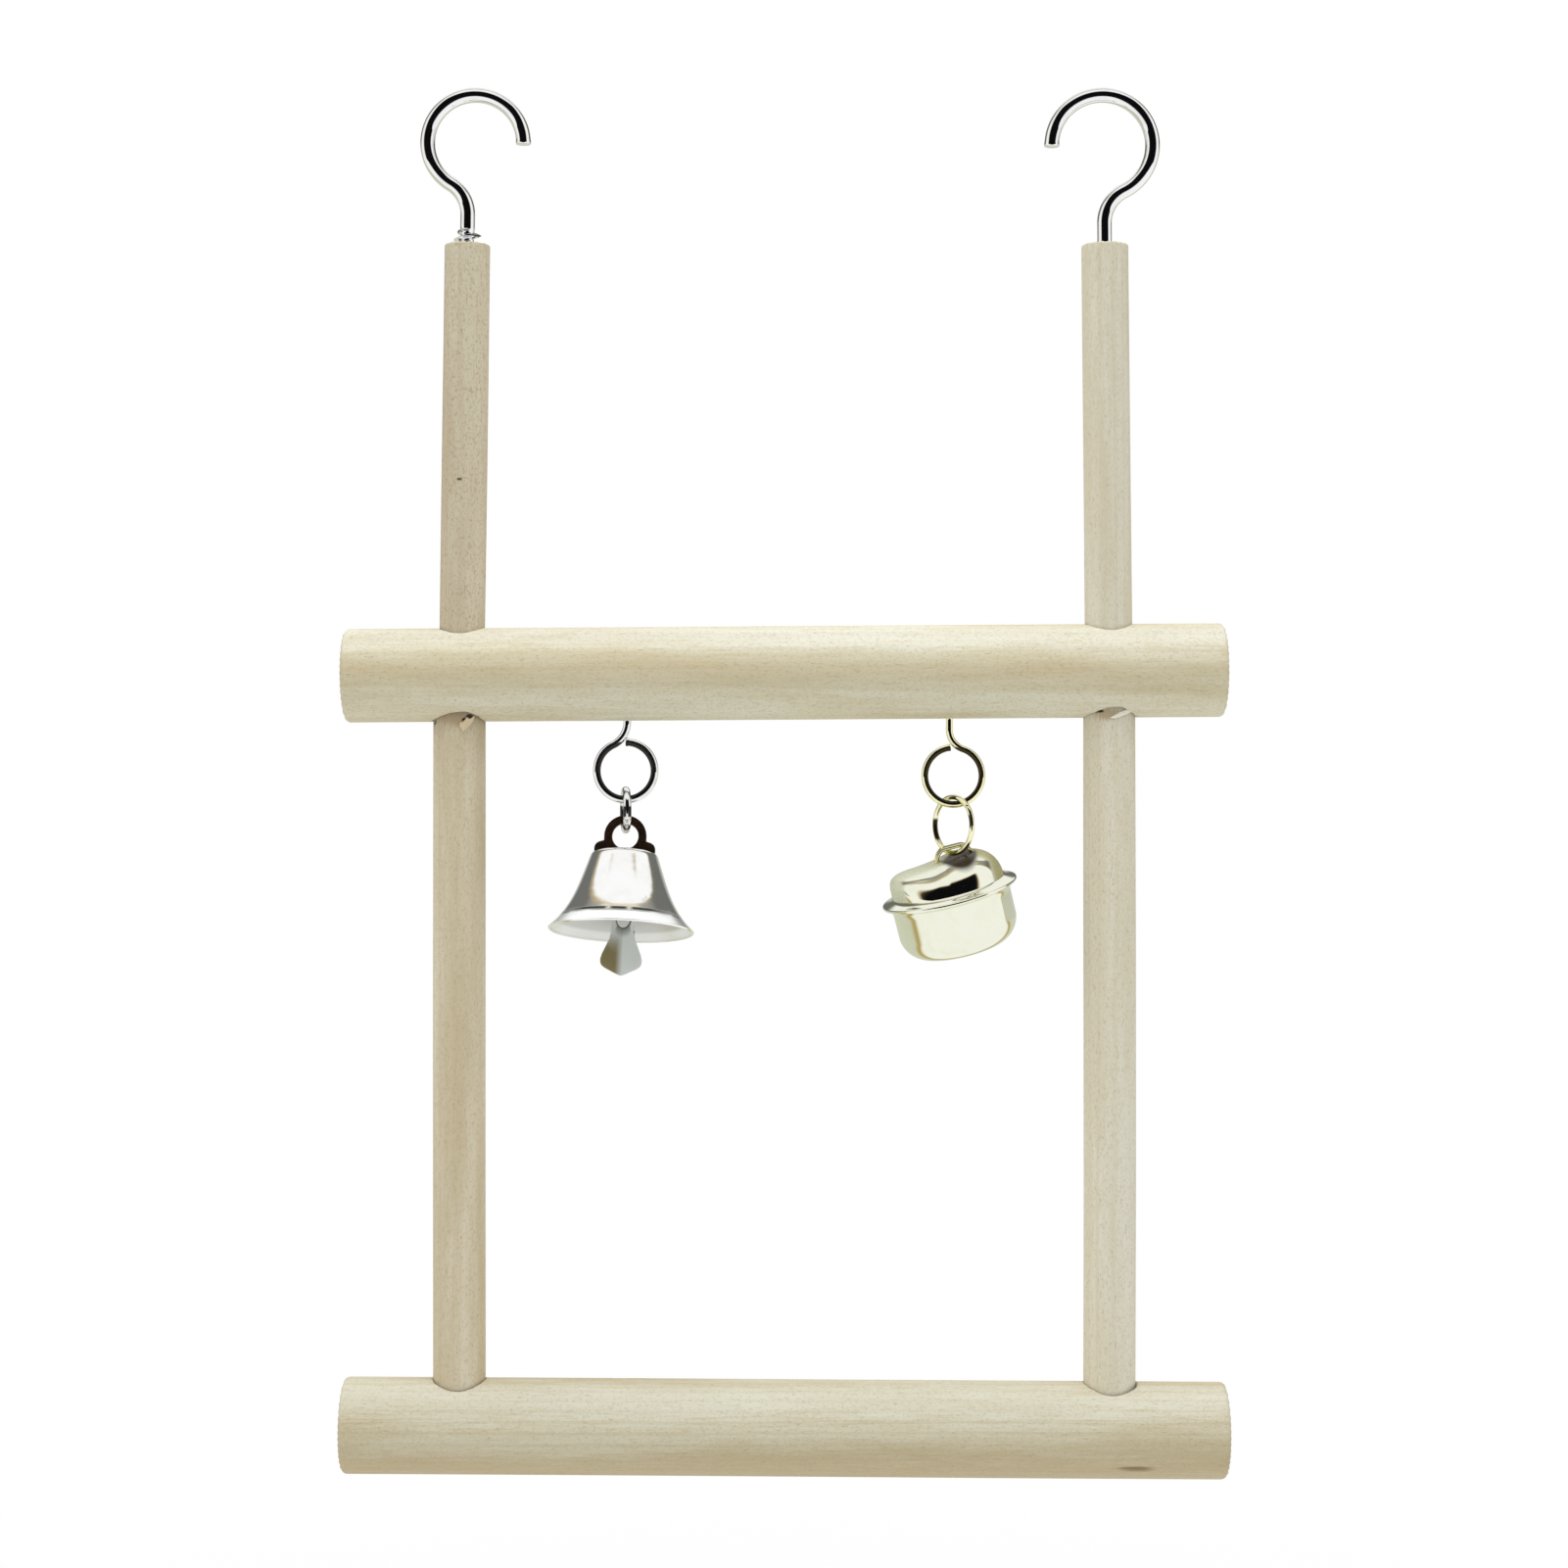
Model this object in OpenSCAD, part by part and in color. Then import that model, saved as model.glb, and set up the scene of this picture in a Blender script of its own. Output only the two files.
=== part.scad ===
// Hanging bird swing: two wooden perches on four dowels, held by two screw hooks.
// A nickel bell and a brass jingle bell hang from eye screws under the top perch.
// Millimetres, +Z up, +X to the right and -Y towards the viewer.
// The origin lies halfway between the seats of the two hooks, where the bar they hang on passes.

/* [Perches] */
// Diameter of the top perch
top_perch_d = 15; // [13:0.1:17]
// Diameter of the bottom perch
bottom_perch_d = 15.3; // [13:0.1:17]
// Height from the top perch's axis up to the seats of the hooks
perch_drop = 91.7; // [80:0.1:120]
// Height between the axes of the two perches
perch_pitch = 121.4; // [95:0.1:180]
// Length of the top perch outside the post's axis at each end
top_overhang = 18.3; // [12:0.1:30]
// Length of the bottom perch outside the post's axis at each end
bottom_overhang = 18.6; // [12:0.1:30]
// Slope of the top perch, right end up, in degrees
top_perch_slope = 0.4; // [-1:0.1:1]
// Slope of the bottom perch, right end down, in degrees
bottom_perch_slope = 0.36; // [-1:0.01:1]
// Width of the softened edge round each end of the wood
wood_edge = 0.35; // [0.1:0.05:0.6]

/* [Dowels] */
// Diameter of the upper left rod
left_rod_d = 7.3; // [6.4:0.1:8.4]
// Diameter of the upper right rod
right_rod_d = 7.6; // [6.4:0.1:8.4]
// Diameter of the two lower posts
post_d = 8.35; // [7:0.05:9]
// How far the left post's axis stands outside the left hook's seat
left_post_out = 2.7; // [1:0.1:4]
// How far the right post's axis stands outside the right hook's seat
right_post_out = 1.25; // [0:0.05:4]
// Lean of the upper left rod, top inwards, in degrees
left_lean = 0.75; // [0:0.05:1.2]
// Lean of the upper right rod, top inwards, in degrees
right_lean = 0.55; // [0:0.05:1.2]
// Depth of the drilled sockets that the dowels are glued into
socket_depth = 5.5; // [4:0.1:6]
// Glue space round a dowel in its socket
glue_gap = 0.05; // [0.02:0.01:0.1]

/* [Screw hooks] */
// Distance between the seats of the two hooks
hook_spacing = 100.6; // [90:0.1:140]
// Diameter of the hooks' wire
hook_wire_d = 2.35; // [2:0.05:2.6]
// Radius of the left hook's loop, at the middle of the wire
left_hook_r = 7.7; // [7:0.1:8.5]
// Radius of the right hook's loop, at the middle of the wire
right_hook_r = 8.1; // [7:0.1:8.5]
// Radius of the bend between a hook's loop and its shank
hook_bend_r = 5.8; // [5:0.1:6.5]
// How far the left hook's shank stands outside the middle of its loop
left_hook_shift = 1.1; // [0:0.05:2]
// How far the right hook's shank stands outside the middle of its loop
right_hook_shift = 0.25; // [0:0.05:2]
// Straight shank that shows above the upper left rod
left_shank_show = 4.8; // [4:0.1:7]
// Straight shank that shows above the upper right rod
right_shank_show = 3.5; // [2:0.1:6]
// Thread that still stands out of the upper left rod
left_thread_show = 2.5; // [0.5:0.1:3.5]
// Thread that still stands out of the upper right rod
right_thread_show = 0.3; // [0.1:0.1:1.5]
// Length of a hook's thread below the top of its rod
hook_thread_in = 10.5; // [8:0.1:14]
// Diameter over the crests of a hook's thread
hook_thread_d = 4.5; // [3.4:0.1:5]
// Pitch of a hook's thread
hook_thread_pitch = 1.6; // [1.4:0.05:2]

/* [Eye screws] */
// Place of the nickel eye screw's shank along the top perch
silver_eye_x = -26; // [-30:0.1:-22]
// Place of the brass eye screw's shank along the top perch
brass_eye_x = 25.8; // [22:0.1:30]
// Diameter of the nickel eye's wire
silver_eye_wire_d = 1.25; // [1.1:0.05:1.4]
// Diameter of the brass eye's wire
brass_eye_wire_d = 1.1; // [1:0.05:1.25]
// Radius of the nickel eye's loop, at the middle of the wire
silver_eye_r = 4.65; // [4.2:0.05:5]
// Radius of the brass eye's loop, at the middle of the wire
brass_eye_r = 4.6; // [4.2:0.05:5]
// Radius of the bend above the nickel eye
silver_eye_bend_r = 3.95; // [3:0.05:4.5]
// Radius of the bend above the brass eye
brass_eye_bend_r = 3.15; // [2.5:0.05:4]
// How far the nickel eye's loop stands to the left of its shank
silver_eye_shift = 0.25; // [0:0.05:0.8]
// How far the brass eye's loop stands to the right of its shank
brass_eye_shift = 0.65; // [0:0.05:1]
// Straight shank that shows above the nickel eye
silver_eye_show = 0.3; // [0.2:0.1:2]
// Straight shank that shows above the brass eye
brass_eye_show = 1.9; // [0.2:0.1:3]
// How far round the nickel eye's loop runs, in degrees
silver_eye_sweep = 333; // [300:1:334]
// How far round the brass eye's loop runs, in degrees
brass_eye_sweep = 334; // [300:1:335]
// Length of an eye screw's thread in the perch
eye_thread_in = 8.5; // [6:0.1:10]
// Diameter over the crests of an eye screw's thread
eye_thread_d = 2.1; // [1.7:0.05:2.4]
// Pitch of an eye screw's thread
eye_thread_pitch = 1; // [0.9:0.05:1.3]

/* [Rings] */
// Diameter of the nickel link's wire
silver_link_wire_d = 1.3; // [1.1:0.05:1.4]
// Radius of the nickel link, at the middle of the wire
silver_link_r = 3.15; // [3:0.05:3.6]
// Turn of the nickel link from straight on, in degrees
silver_link_yaw = 8; // [0:1:15]
// Diameter of the brass ring's wire
brass_ring_wire_d = 0.85; // [0.7:0.05:1]
// Radius of the brass ring, at the middle of the wire
brass_ring_r = 4.5; // [4.2:0.05:5]
// Turn of the brass ring out of the viewer's plane, in degrees
brass_ring_yaw = 52; // [45:1:60]
// Play between a ring and the wire that it hangs on
hang_gap = 0.2; // [0.15:0.01:0.3]
// Play between a wire and the tipped plate whose hole it passes through
plate_gap = 0.36; // [0.3:0.01:0.4]

/* [Nickel bell] */
// Radius of the bell at its rim
bell_rim_r = 11.65; // [11:0.05:12.5]
// Height of the bell's cup
bell_h = 12.6; // [12:0.1:14]
// Radius of the cup just under its rounded crown
bell_crown_r = 5.6; // [5.2:0.05:6]
// Radius of the rounding at the crown
bell_crown_round = 1.2; // [0.8:0.1:1.6]
// How much the flare adds at the rim to the cup's straight taper
bell_flare = 2.2; // [1.5:0.1:3]
// Thickness of the bell's wall
bell_wall = 0.5; // [0.4:0.05:0.7]
// Lean of the bell, mouth to the left, in degrees
bell_lean = 2; // [0:0.5:5]
// Tip of the bell, mouth towards the viewer, in degrees
bell_tip = 12; // [0:0.5:14]
// Thickness of the bail plate
bail_t = 0.8; // [0.6:0.05:0.9]
// Radius of the hole in the bail plate
bail_hole_r = 2.1; // [2:0.05:2.4]
// Width of the plate round that hole
bail_rim = 1.3; // [1:0.05:1.5]
// Height of plate left between the hole and the crown
bail_base = 0.55; // [0.4:0.05:0.9]
// Width of the plate's shoulders on the crown
bail_shoulder_w = 9.8; // [9:0.1:10.4]
// Height of the plate's shoulders
bail_shoulder_h = 1.7; // [1.2:0.1:2]
// Width of the tang that goes through the crown
bail_tang_w = 3.2; // [2.8:0.1:4]
// Radius of the hole in the tang
tang_hole_r = 0.95; // [0.85:0.05:1.1]

/* [Clapper] */
// Diameter of the wire link that carries the clapper
clapper_link_wire_d = 0.8; // [0.7:0.05:0.9]
// Length of that link between the middles of its end wires
clapper_link_len = 7; // [6.4:0.1:7.4]
// Radius of that link's ends, at the middle of the wire
clapper_link_r = 1.5; // [1.3:0.05:1.8]
// Thickness of the clapper's sheet
clapper_t = 0.7; // [0.5:0.05:0.8]
// Radius of the hole in the clapper
clapper_hole_r = 1.3; // [1.2:0.05:1.4]
// Width of the clapper at its neck
clapper_neck_w = 3.8; // [3.4:0.1:4.2]
// Width of the clapper's blade
clapper_blade_w = 6.7; // [6:0.1:7.2]
// Length from the clapper's hole down to its tip
clapper_len = 8.9; // [8:0.1:9.4]
// Angle that each half of the clapper is folded back, in degrees
clapper_fold = 12; // [5:1:18]

/* [Jingle bell] */
// How far the rolled seam reaches out past the lower shell
seam_reach = 1.45; // [1.2:0.05:1.9]
// Height of the rolled seam
seam_h = 1.4; // [1.3:0.1:2.2]
// Radius of the upper shell
upper_shell_r = 9.2; // [9:0.05:9.4]
// Height of the upper shell above the middle of the seam
upper_shell_h = 5; // [4.6:0.1:5.6]
// Radius of the upper shell's rounded shoulder
upper_round = 3.2; // [2.6:0.1:3.6]
// Radius of the lower shell
lower_shell_r = 9.65; // [9.5:0.05:9.8]
// Depth of the lower shell below the middle of the seam
lower_shell_h = 9.8; // [9:0.1:10.6]
// Radius of the lower shell's rounded bottom edge
lower_round = 4.4; // [4:0.1:4.8]
// Thickness of the shells
shell_wall = 0.5; // [0.4:0.05:0.6]
// Width of the sound slots in the bottom
slot_w = 1.3; // [1:0.1:1.6]
// Length of each sound slot
slot_len = 10; // [8:0.1:11]
// Radius of the round hole at each end of a slot
slot_end_r = 1.1; // [0.9:0.05:1.3]
// Lean of the bell, right side up, in degrees
jingle_lean = 14.2; // [8:0.1:16]
// Tip of the bell, top towards the viewer, in degrees
jingle_tip = 8.5; // [4:0.1:10]
// Place of the strap to the right of the bell's middle, as a share of the flat top's radius
strap_shift_share = 0.35; // [0.25:0.01:0.45]
// Width of the strap's band
strap_band = 2; // [1.6:0.1:2.2]
// Thickness of the strap
strap_t = 0.6; // [0.5:0.05:0.7]
// Clear width under the strap, as a share of the flat top's radius
strap_span_share = 0.8; // [0.7:0.01:0.9]
// Clear height under the strap
strap_rise = 1.95; // [1.8:0.05:2.2]
// Length of each tab that is bent over inside the shell
strap_tab = 1.2; // [0.8:0.1:1.6]
// Diameter of the loose steel ball
pea_d = 5; // [4.4:0.1:5.4]

/* [Hidden] */
$fn = 96;

// Colours
pale_wood = [0.84, 0.79, 0.66];
nickel = [0.80, 0.80, 0.80];
satin_nickel = [0.72, 0.73, 0.70];
dark_bronze = [0.16, 0.10, 0.06];
brass = [0.85, 0.80, 0.52];
steel = [0.55, 0.55, 0.55];

// Clearances and small steps that several pieces share
cut_over = 1; // how far a cutting solid runs past the face it opens
bite = 0.3; // how far a wire runs into the thread it is one piece with
fit_gap = 0.05; // play of a sheet part in its slot

// Where the dowels and perches stand
left_post_x = -hook_spacing / 2 - left_post_out;
right_post_x = hook_spacing / 2 + right_post_out;
function top_axis_z(x) = -perch_drop + x * tan(top_perch_slope);
function bottom_axis_z(x) = -perch_drop - perch_pitch - x * tan(bottom_perch_slope);

// Bent wire: a shank along +Z from the wood, a bend to the left and a loop on top.
// r is the loop's radius, b the bend's, s the shift of the loop to the right of the shank.
function bend_rise(r, b, s) = sqrt(pow(r + b, 2) - pow(b + s, 2));
function join_angle(r, b, s) = atan2(bend_rise(r, b, s), b + s);

// The hooks: from the seat down to the wood, and from there down to the rod's foot
left_rod_top = left_hook_r - hook_wire_d / 2
    + bend_rise(left_hook_r, hook_bend_r, left_hook_shift) + left_shank_show;
right_rod_top = right_hook_r - hook_wire_d / 2
    + bend_rise(right_hook_r, hook_bend_r, right_hook_shift) + right_shank_show;
left_rod_x = -hook_spacing / 2 - left_hook_shift - perch_drop * tan(left_lean);
right_rod_x = hook_spacing / 2 + right_hook_shift + perch_drop * tan(right_lean);
left_rod_foot = -top_axis_z(left_rod_x) - top_perch_d / 2 + socket_depth;
right_rod_foot = -top_axis_z(right_rod_x) - top_perch_d / 2 + socket_depth;

// The eye screws: the wood's surface, the loop's middle and the wire at its lowest point
silver_eye_z = top_axis_z(silver_eye_x) - top_perch_d / 2;
brass_eye_z = top_axis_z(brass_eye_x) - top_perch_d / 2;
silver_loop_x = silver_eye_x - silver_eye_shift;
brass_loop_x = brass_eye_x + brass_eye_shift;
silver_low_z = silver_eye_z - silver_eye_show
    - bend_rise(silver_eye_r, silver_eye_bend_r, -silver_eye_shift) - silver_eye_r;
brass_low_z = brass_eye_z - brass_eye_show
    - bend_rise(brass_eye_r, brass_eye_bend_r, -brass_eye_shift) - brass_eye_r;

// The nickel link: the middle of its top wire, its own middle and its bottom wire
silver_link_top = silver_low_z + (silver_eye_wire_d + silver_link_wire_d) / 2 + hang_gap;
silver_link_z = silver_link_top - silver_link_r;
bell_hang = [silver_loop_x, 0, silver_link_z - silver_link_r];

// The brass ring, in the same way
brass_ring_top = brass_low_z + (brass_eye_wire_d + brass_ring_wire_d) / 2 + hang_gap;
brass_ring_z = brass_ring_top - brass_ring_r;
jingle_hang = [brass_loop_x, 0, brass_ring_z - brass_ring_r];

// The nickel bell, measured down its own axis from the wire it hangs on
bail_hole_z = -(bail_hole_r - silver_link_wire_d / 2 - plate_gap);
crown_z = bail_hole_z - bail_hole_r - bail_base;
tang_hole_z = crown_z - bell_wall - tang_hole_r - clapper_link_wire_d / 2;
tang_foot_z = tang_hole_z - tang_hole_r - bail_base;
bell_taper = bell_rim_r - bell_crown_r - bell_flare;
flare_power = 4;
bell_steps = 14;
crown_steps = 6;

// Where the tang's hole hangs in the room, and the clapper's link under it
tang_hole_at = bell_hang + turned(bell_tip, bell_lean, tang_hole_z);
clapper_link_hang = tang_hole_at
    - [0, 0, tang_hole_r - clapper_link_wire_d / 2 - plate_gap];
clapper_hang = clapper_link_hang - [0, 0, clapper_link_len];
clapper_hole_drop = clapper_hole_r - clapper_link_wire_d / 2 - hang_gap;

// The point at height z on the bell's own axis, once the bell is tipped and leaned
function turned(tip, lean, z) = [
    z * cos(tip) * sin(lean), z * sin(tip), z * cos(tip) * cos(lean)];

// The clapper's outline: shares of half its blade's width and of its length
neck_drop_share = 0.35;
blade_drop_share = 0.745;
blade_low_share = 0.83;
chin_w_share = 0.72;
chin_drop_share = 0.9;
tip_w_share = 0.2;
tip_drop_share = 0.985;

// The jingle bell, measured down its own axis from the wire it hangs on
strap_margin_share = 0.78; // height of the strap's inner face above the wire, in wire radii
strap_in_z = brass_ring_wire_d / 2 * (1 + strap_margin_share);
jingle_crown_z = strap_in_z - strap_rise;
seam_z = jingle_crown_z - upper_shell_h;
floor_z = seam_z - lower_shell_h + shell_wall;
flange_t = shell_wall;
seam_r = lower_shell_r + seam_reach;
seam_lip = (seam_h - flange_t) / 2;
flat_top_r = upper_shell_r - upper_round;
strap_shift = strap_shift_share * flat_top_r;
strap_span = strap_span_share * flat_top_r;
strap_hole_play = fit_gap;

// The loose ball lies where the tilted shell is lowest: on the rounding, downhill
downhill = [-sin(jingle_lean), -cos(jingle_lean) * sin(jingle_tip)];
downhill_len = sqrt(downhill[0] * downhill[0] + downhill[1] * downhill[1]);
floor_angle = asin(downhill_len);
inner_round = lower_round - shell_wall;
pea_gap = 0.1; // play between the ball and the shell
pea_swing = inner_round - pea_d / 2 - pea_gap;
pea_out = lower_shell_r - lower_round + pea_swing * sin(floor_angle);
pea_z = floor_z + inner_round - pea_swing * cos(floor_angle);
pea_at = [pea_out * downhill[0] / downhill_len, pea_out * downhill[1] / downhill_len, pea_z];

// A round piece of wood along Z from the origin up, with softened ends
module dowel(d, len) {
    rotate_extrude()
        polygon([[0, 0], [d / 2 - wood_edge, 0], [d / 2, wood_edge],
            [d / 2, len - wood_edge], [d / 2 - wood_edge, len], [0, len]]);
}

// The left hanger's own frame: the hook's seat, with the rod along -Z
module left_hanger() {
    translate([-hook_spacing / 2, 0, 0])
        rotate([0, left_lean, 0])
            translate([-left_hook_shift, 0, 0]) children();
}

// The right hanger's frame, mirrored so that both hooks are drawn alike
module right_hanger() {
    translate([hook_spacing / 2, 0, 0])
        rotate([0, -right_lean, 0])
            mirror([1, 0, 0])
                translate([-right_hook_shift, 0, 0]) children();
}

// A piece of round wire along an arc in the XZ plane, angles from +X towards +Z
module wire_arc(r, d, from, to) {
    rotate([90, 0, 0])
        rotate([0, 0, from])
            rotate_extrude(angle = to - from)
                translate([r, 0]) circle(d = d);
}

// A shank with a bend and a loop: sweep is how far round the loop runs.
// A ball a trace thicker than the wire fills the place where two runs meet.
knuckle_share = 1.02;
module bent_wire(r, b, s, show, d, sweep) {
    join = join_angle(r, b, s);
    cylinder(d = d, h = show);
    translate([-b, 0, show])
        wire_arc(b, d, 0, join);
    for (place = [[0, show], [b * (cos(join) - 1), show + b * sin(join)]])
        translate([place[0], 0, place[1]]) sphere(d = d * knuckle_share);
    translate([s, 0, show + bend_rise(r, b, s)])
        wire_arc(r, d, 180 + join - sweep, 180 + join);
}

// How far out a thread's surface stands at height z and angle a: a sharp crest on a round core
thread_crest_share = 0.3; // half the crest's width, as a share of the pitch
thread_point_share = 0.16; // core left at the very tip
thread_core_share = 0.86; // the thread's core, as a share of its wire
function crest(f) = max(0, 1 - abs(f - 0.5) / thread_crest_share);
function turn_share(z, a, pitch) = z / pitch - a / 360 - floor(z / pitch - a / 360);
function thread_r(z, a, core, crest_d, pitch, tip) =
    (core / 2 + (crest_d - core) / 2 * crest(turn_share(z, a, pitch)))
    * min(1, thread_point_share + (1 - thread_point_share) * z / tip);

// A wood screw's thread on a wire, one solid from its tip at the origin up to z = len
thread_sides = 14;
thread_rows_per_turn = 6;
module wood_thread(wire_d, crest_d, pitch, len) {
    core = wire_d * thread_core_share;
    rows = ceil(len / pitch * thread_rows_per_turn);
    tip = 2 * pitch;
    points = [for (row = [0 : rows]) for (side = [0 : thread_sides - 1])
        let (z = len * row / rows, a = 360 * side / thread_sides,
            r = thread_r(z, a, core, crest_d, pitch, tip))
        [r * cos(a), r * sin(a), z]];
    walls = [for (row = [0 : rows - 1]) for (side = [0 : thread_sides - 1])
        let (next = (side + 1) % thread_sides, low = row * thread_sides,
            high = low + thread_sides)
        each [[low + side, high + next, low + next], [low + side, high + side, high + next]]];
    foot = [for (side = [0 : thread_sides - 1]) side];
    head = [for (side = [thread_sides - 1 : -1 : 0]) rows * thread_sides + side];
    polyhedron(points = points, faces = concat(walls, [foot, head]));
}

// A pilot hole for a screw, from the wood's surface at the origin down by len
pilot_gap = 0.05; // play round the screw's core
module pilot(core, len) {
    translate([0, 0, -len - bite])
        cylinder(d = core + 2 * pilot_gap, h = len + bite + cut_over);
}

module top_perch() {
    len = right_post_x - left_post_x + 2 * top_overhang;
    color(pale_wood)
    difference() {
        translate([left_post_x - top_overhang, 0, top_axis_z(left_post_x - top_overhang)])
            rotate([0, 90 - top_perch_slope, 0]) dowel(top_perch_d, len);
        left_hanger()
            translate([0, 0, -left_rod_foot])
                cylinder(d = left_rod_d + 2 * glue_gap, h = socket_depth + top_perch_d / 2);
        right_hanger()
            translate([0, 0, -right_rod_foot])
                cylinder(d = right_rod_d + 2 * glue_gap, h = socket_depth + top_perch_d / 2);
        for (x = [left_post_x, right_post_x])
            translate([x, 0, top_axis_z(x) - top_perch_d])
                cylinder(d = post_d + 2 * glue_gap, h = top_perch_d / 2 + socket_depth);
        translate([silver_eye_x, 0, silver_eye_z])
            mirror([0, 0, 1]) pilot(silver_eye_wire_d, eye_thread_in);
        translate([brass_eye_x, 0, brass_eye_z])
            mirror([0, 0, 1]) pilot(brass_eye_wire_d, eye_thread_in);
    }
}

module bottom_perch() {
    len = right_post_x - left_post_x + 2 * bottom_overhang;
    start_x = left_post_x - bottom_overhang;
    color(pale_wood)
    difference() {
        translate([start_x, 0, bottom_axis_z(start_x)])
            rotate([0, 90 + bottom_perch_slope, 0]) dowel(bottom_perch_d, len);
        for (x = [left_post_x, right_post_x])
            translate([x, 0, bottom_axis_z(x) + bottom_perch_d / 2 - socket_depth])
                cylinder(d = post_d + 2 * glue_gap, h = socket_depth + bottom_perch_d / 2);
    }
}

// A lower post between the two perches, glued into both
module post(x) {
    foot = bottom_axis_z(x) + bottom_perch_d / 2 - socket_depth;
    head = top_axis_z(x) - top_perch_d / 2 + socket_depth;
    color(pale_wood)
    translate([x, 0, foot]) dowel(post_d, head - foot);
}

module left_post() {
    post(left_post_x);
}

module right_post() {
    post(right_post_x);
}

// An upper rod, drilled at its top for the hook's thread
module rod(d, top, foot) {
    color(pale_wood)
    difference() {
        translate([0, 0, -foot]) dowel(d, foot - top);
        translate([0, 0, -top]) pilot(hook_wire_d, hook_thread_in);
    }
}

module left_rod() {
    left_hanger() rod(left_rod_d, left_rod_top, left_rod_foot);
}

module right_rod() {
    right_hanger() rod(right_rod_d, right_rod_top, right_rod_foot);
}

// A screw hook, drawn from the top of its rod: loop above, thread below
module screw_hook(r, s, show, thread_show, top) {
    color(nickel)
    translate([0, 0, -top]) {
        translate([0, 0, thread_show - bite])
            bent_wire(r, hook_bend_r, s, show - thread_show + bite, hook_wire_d,
                180 + join_angle(r, hook_bend_r, s));
        translate([0, 0, -hook_thread_in])
            wood_thread(hook_wire_d, hook_thread_d, hook_thread_pitch,
                hook_thread_in + thread_show);
    }
}

module left_screw_hook() {
    left_hanger()
        screw_hook(left_hook_r, left_hook_shift, left_shank_show, left_thread_show,
            left_rod_top);
}

module right_screw_hook() {
    right_hanger()
        screw_hook(right_hook_r, right_hook_shift, right_shank_show, right_thread_show,
            right_rod_top);
}

// An eye screw, drawn from the wood's surface: thread above, loop below
module eye_screw(r, b, s, show, d, sweep) {
    translate([0, 0, bite])
        mirror([0, 0, 1]) bent_wire(r, b, s, show + bite, d, sweep);
    translate([0, 0, eye_thread_in])
        mirror([0, 0, 1]) wood_thread(d, eye_thread_d, eye_thread_pitch, eye_thread_in);
}

module silver_eye_screw() {
    color(nickel)
    translate([silver_eye_x, 0, silver_eye_z])
        eye_screw(silver_eye_r, silver_eye_bend_r, -silver_eye_shift, silver_eye_show,
            silver_eye_wire_d, silver_eye_sweep);
}

module brass_eye_screw() {
    color(brass)
    translate([brass_eye_x, 0, brass_eye_z])
        mirror([1, 0, 0])
            eye_screw(brass_eye_r, brass_eye_bend_r, -brass_eye_shift, brass_eye_show,
                brass_eye_wire_d, brass_eye_sweep);
}

// A closed ring of wire standing upright, its plane turned by yaw from the viewer's line
module upright_ring(r, d, yaw) {
    rotate([0, 0, yaw])
        rotate([0, 90, 0])
            rotate_extrude() translate([r, 0]) circle(d = d);
}

module silver_link() {
    color(nickel)
    translate([silver_loop_x, 0, silver_link_z])
        upright_ring(silver_link_r, silver_link_wire_d, silver_link_yaw);
}

module brass_ring() {
    color(brass)
    translate([brass_loop_x, 0, brass_ring_z])
        upright_ring(brass_ring_r, brass_ring_wire_d, 90 - brass_ring_yaw);
}

// The nickel bell's own frame: its hanging point, with its axis along Z
module bell_frame() {
    translate(bell_hang)
        rotate([0, bell_lean, 0])
            rotate([-bell_tip, 0, 0]) children();
}

// Radius of the cup at share u of its height below the rounded crown
function bell_r(u) = bell_crown_r + bell_taper * u + bell_flare * pow(u, flare_power);

// The cup's outside from the rim up to the crown's middle, drawn in by inset
function bell_outline(inset) = concat(
    [for (i = [bell_steps : -1 : 0])
        let (u = i / bell_steps)
        [bell_r(u) - inset, crown_z - bell_crown_round - u * (bell_h - bell_crown_round)]],
    [for (i = [1 : crown_steps])
        let (a = 90 * i / crown_steps, q = bell_crown_round - inset)
        [bell_crown_r - bell_crown_round + q * cos(a),
            crown_z - bell_crown_round + q * sin(a)]],
    [[0, crown_z - inset]]);

module bell_cup() {
    color(satin_nickel)
    bell_frame()
    difference() {
        rotate_extrude()
            polygon(concat(bell_outline(0), [[0, crown_z - bell_h]]));
        rotate_extrude()
            polygon(concat([[bell_r(1) - bell_wall, crown_z - bell_h - cut_over]],
                bell_outline(bell_wall), [[0, crown_z - bell_h - cut_over]]));
        translate([0, 0, crown_z])
            cube([bail_tang_w + 2 * fit_gap, bail_t + 2 * fit_gap, 4 * bell_wall],
                center = true);
    }
}

// A flat plate of thickness t standing in the XZ plane, from a drawing in X and Z
module upright_plate(t) {
    translate([0, t / 2, 0])
        rotate([90, 0, 0])
            linear_extrude(t) children();
}

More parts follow.
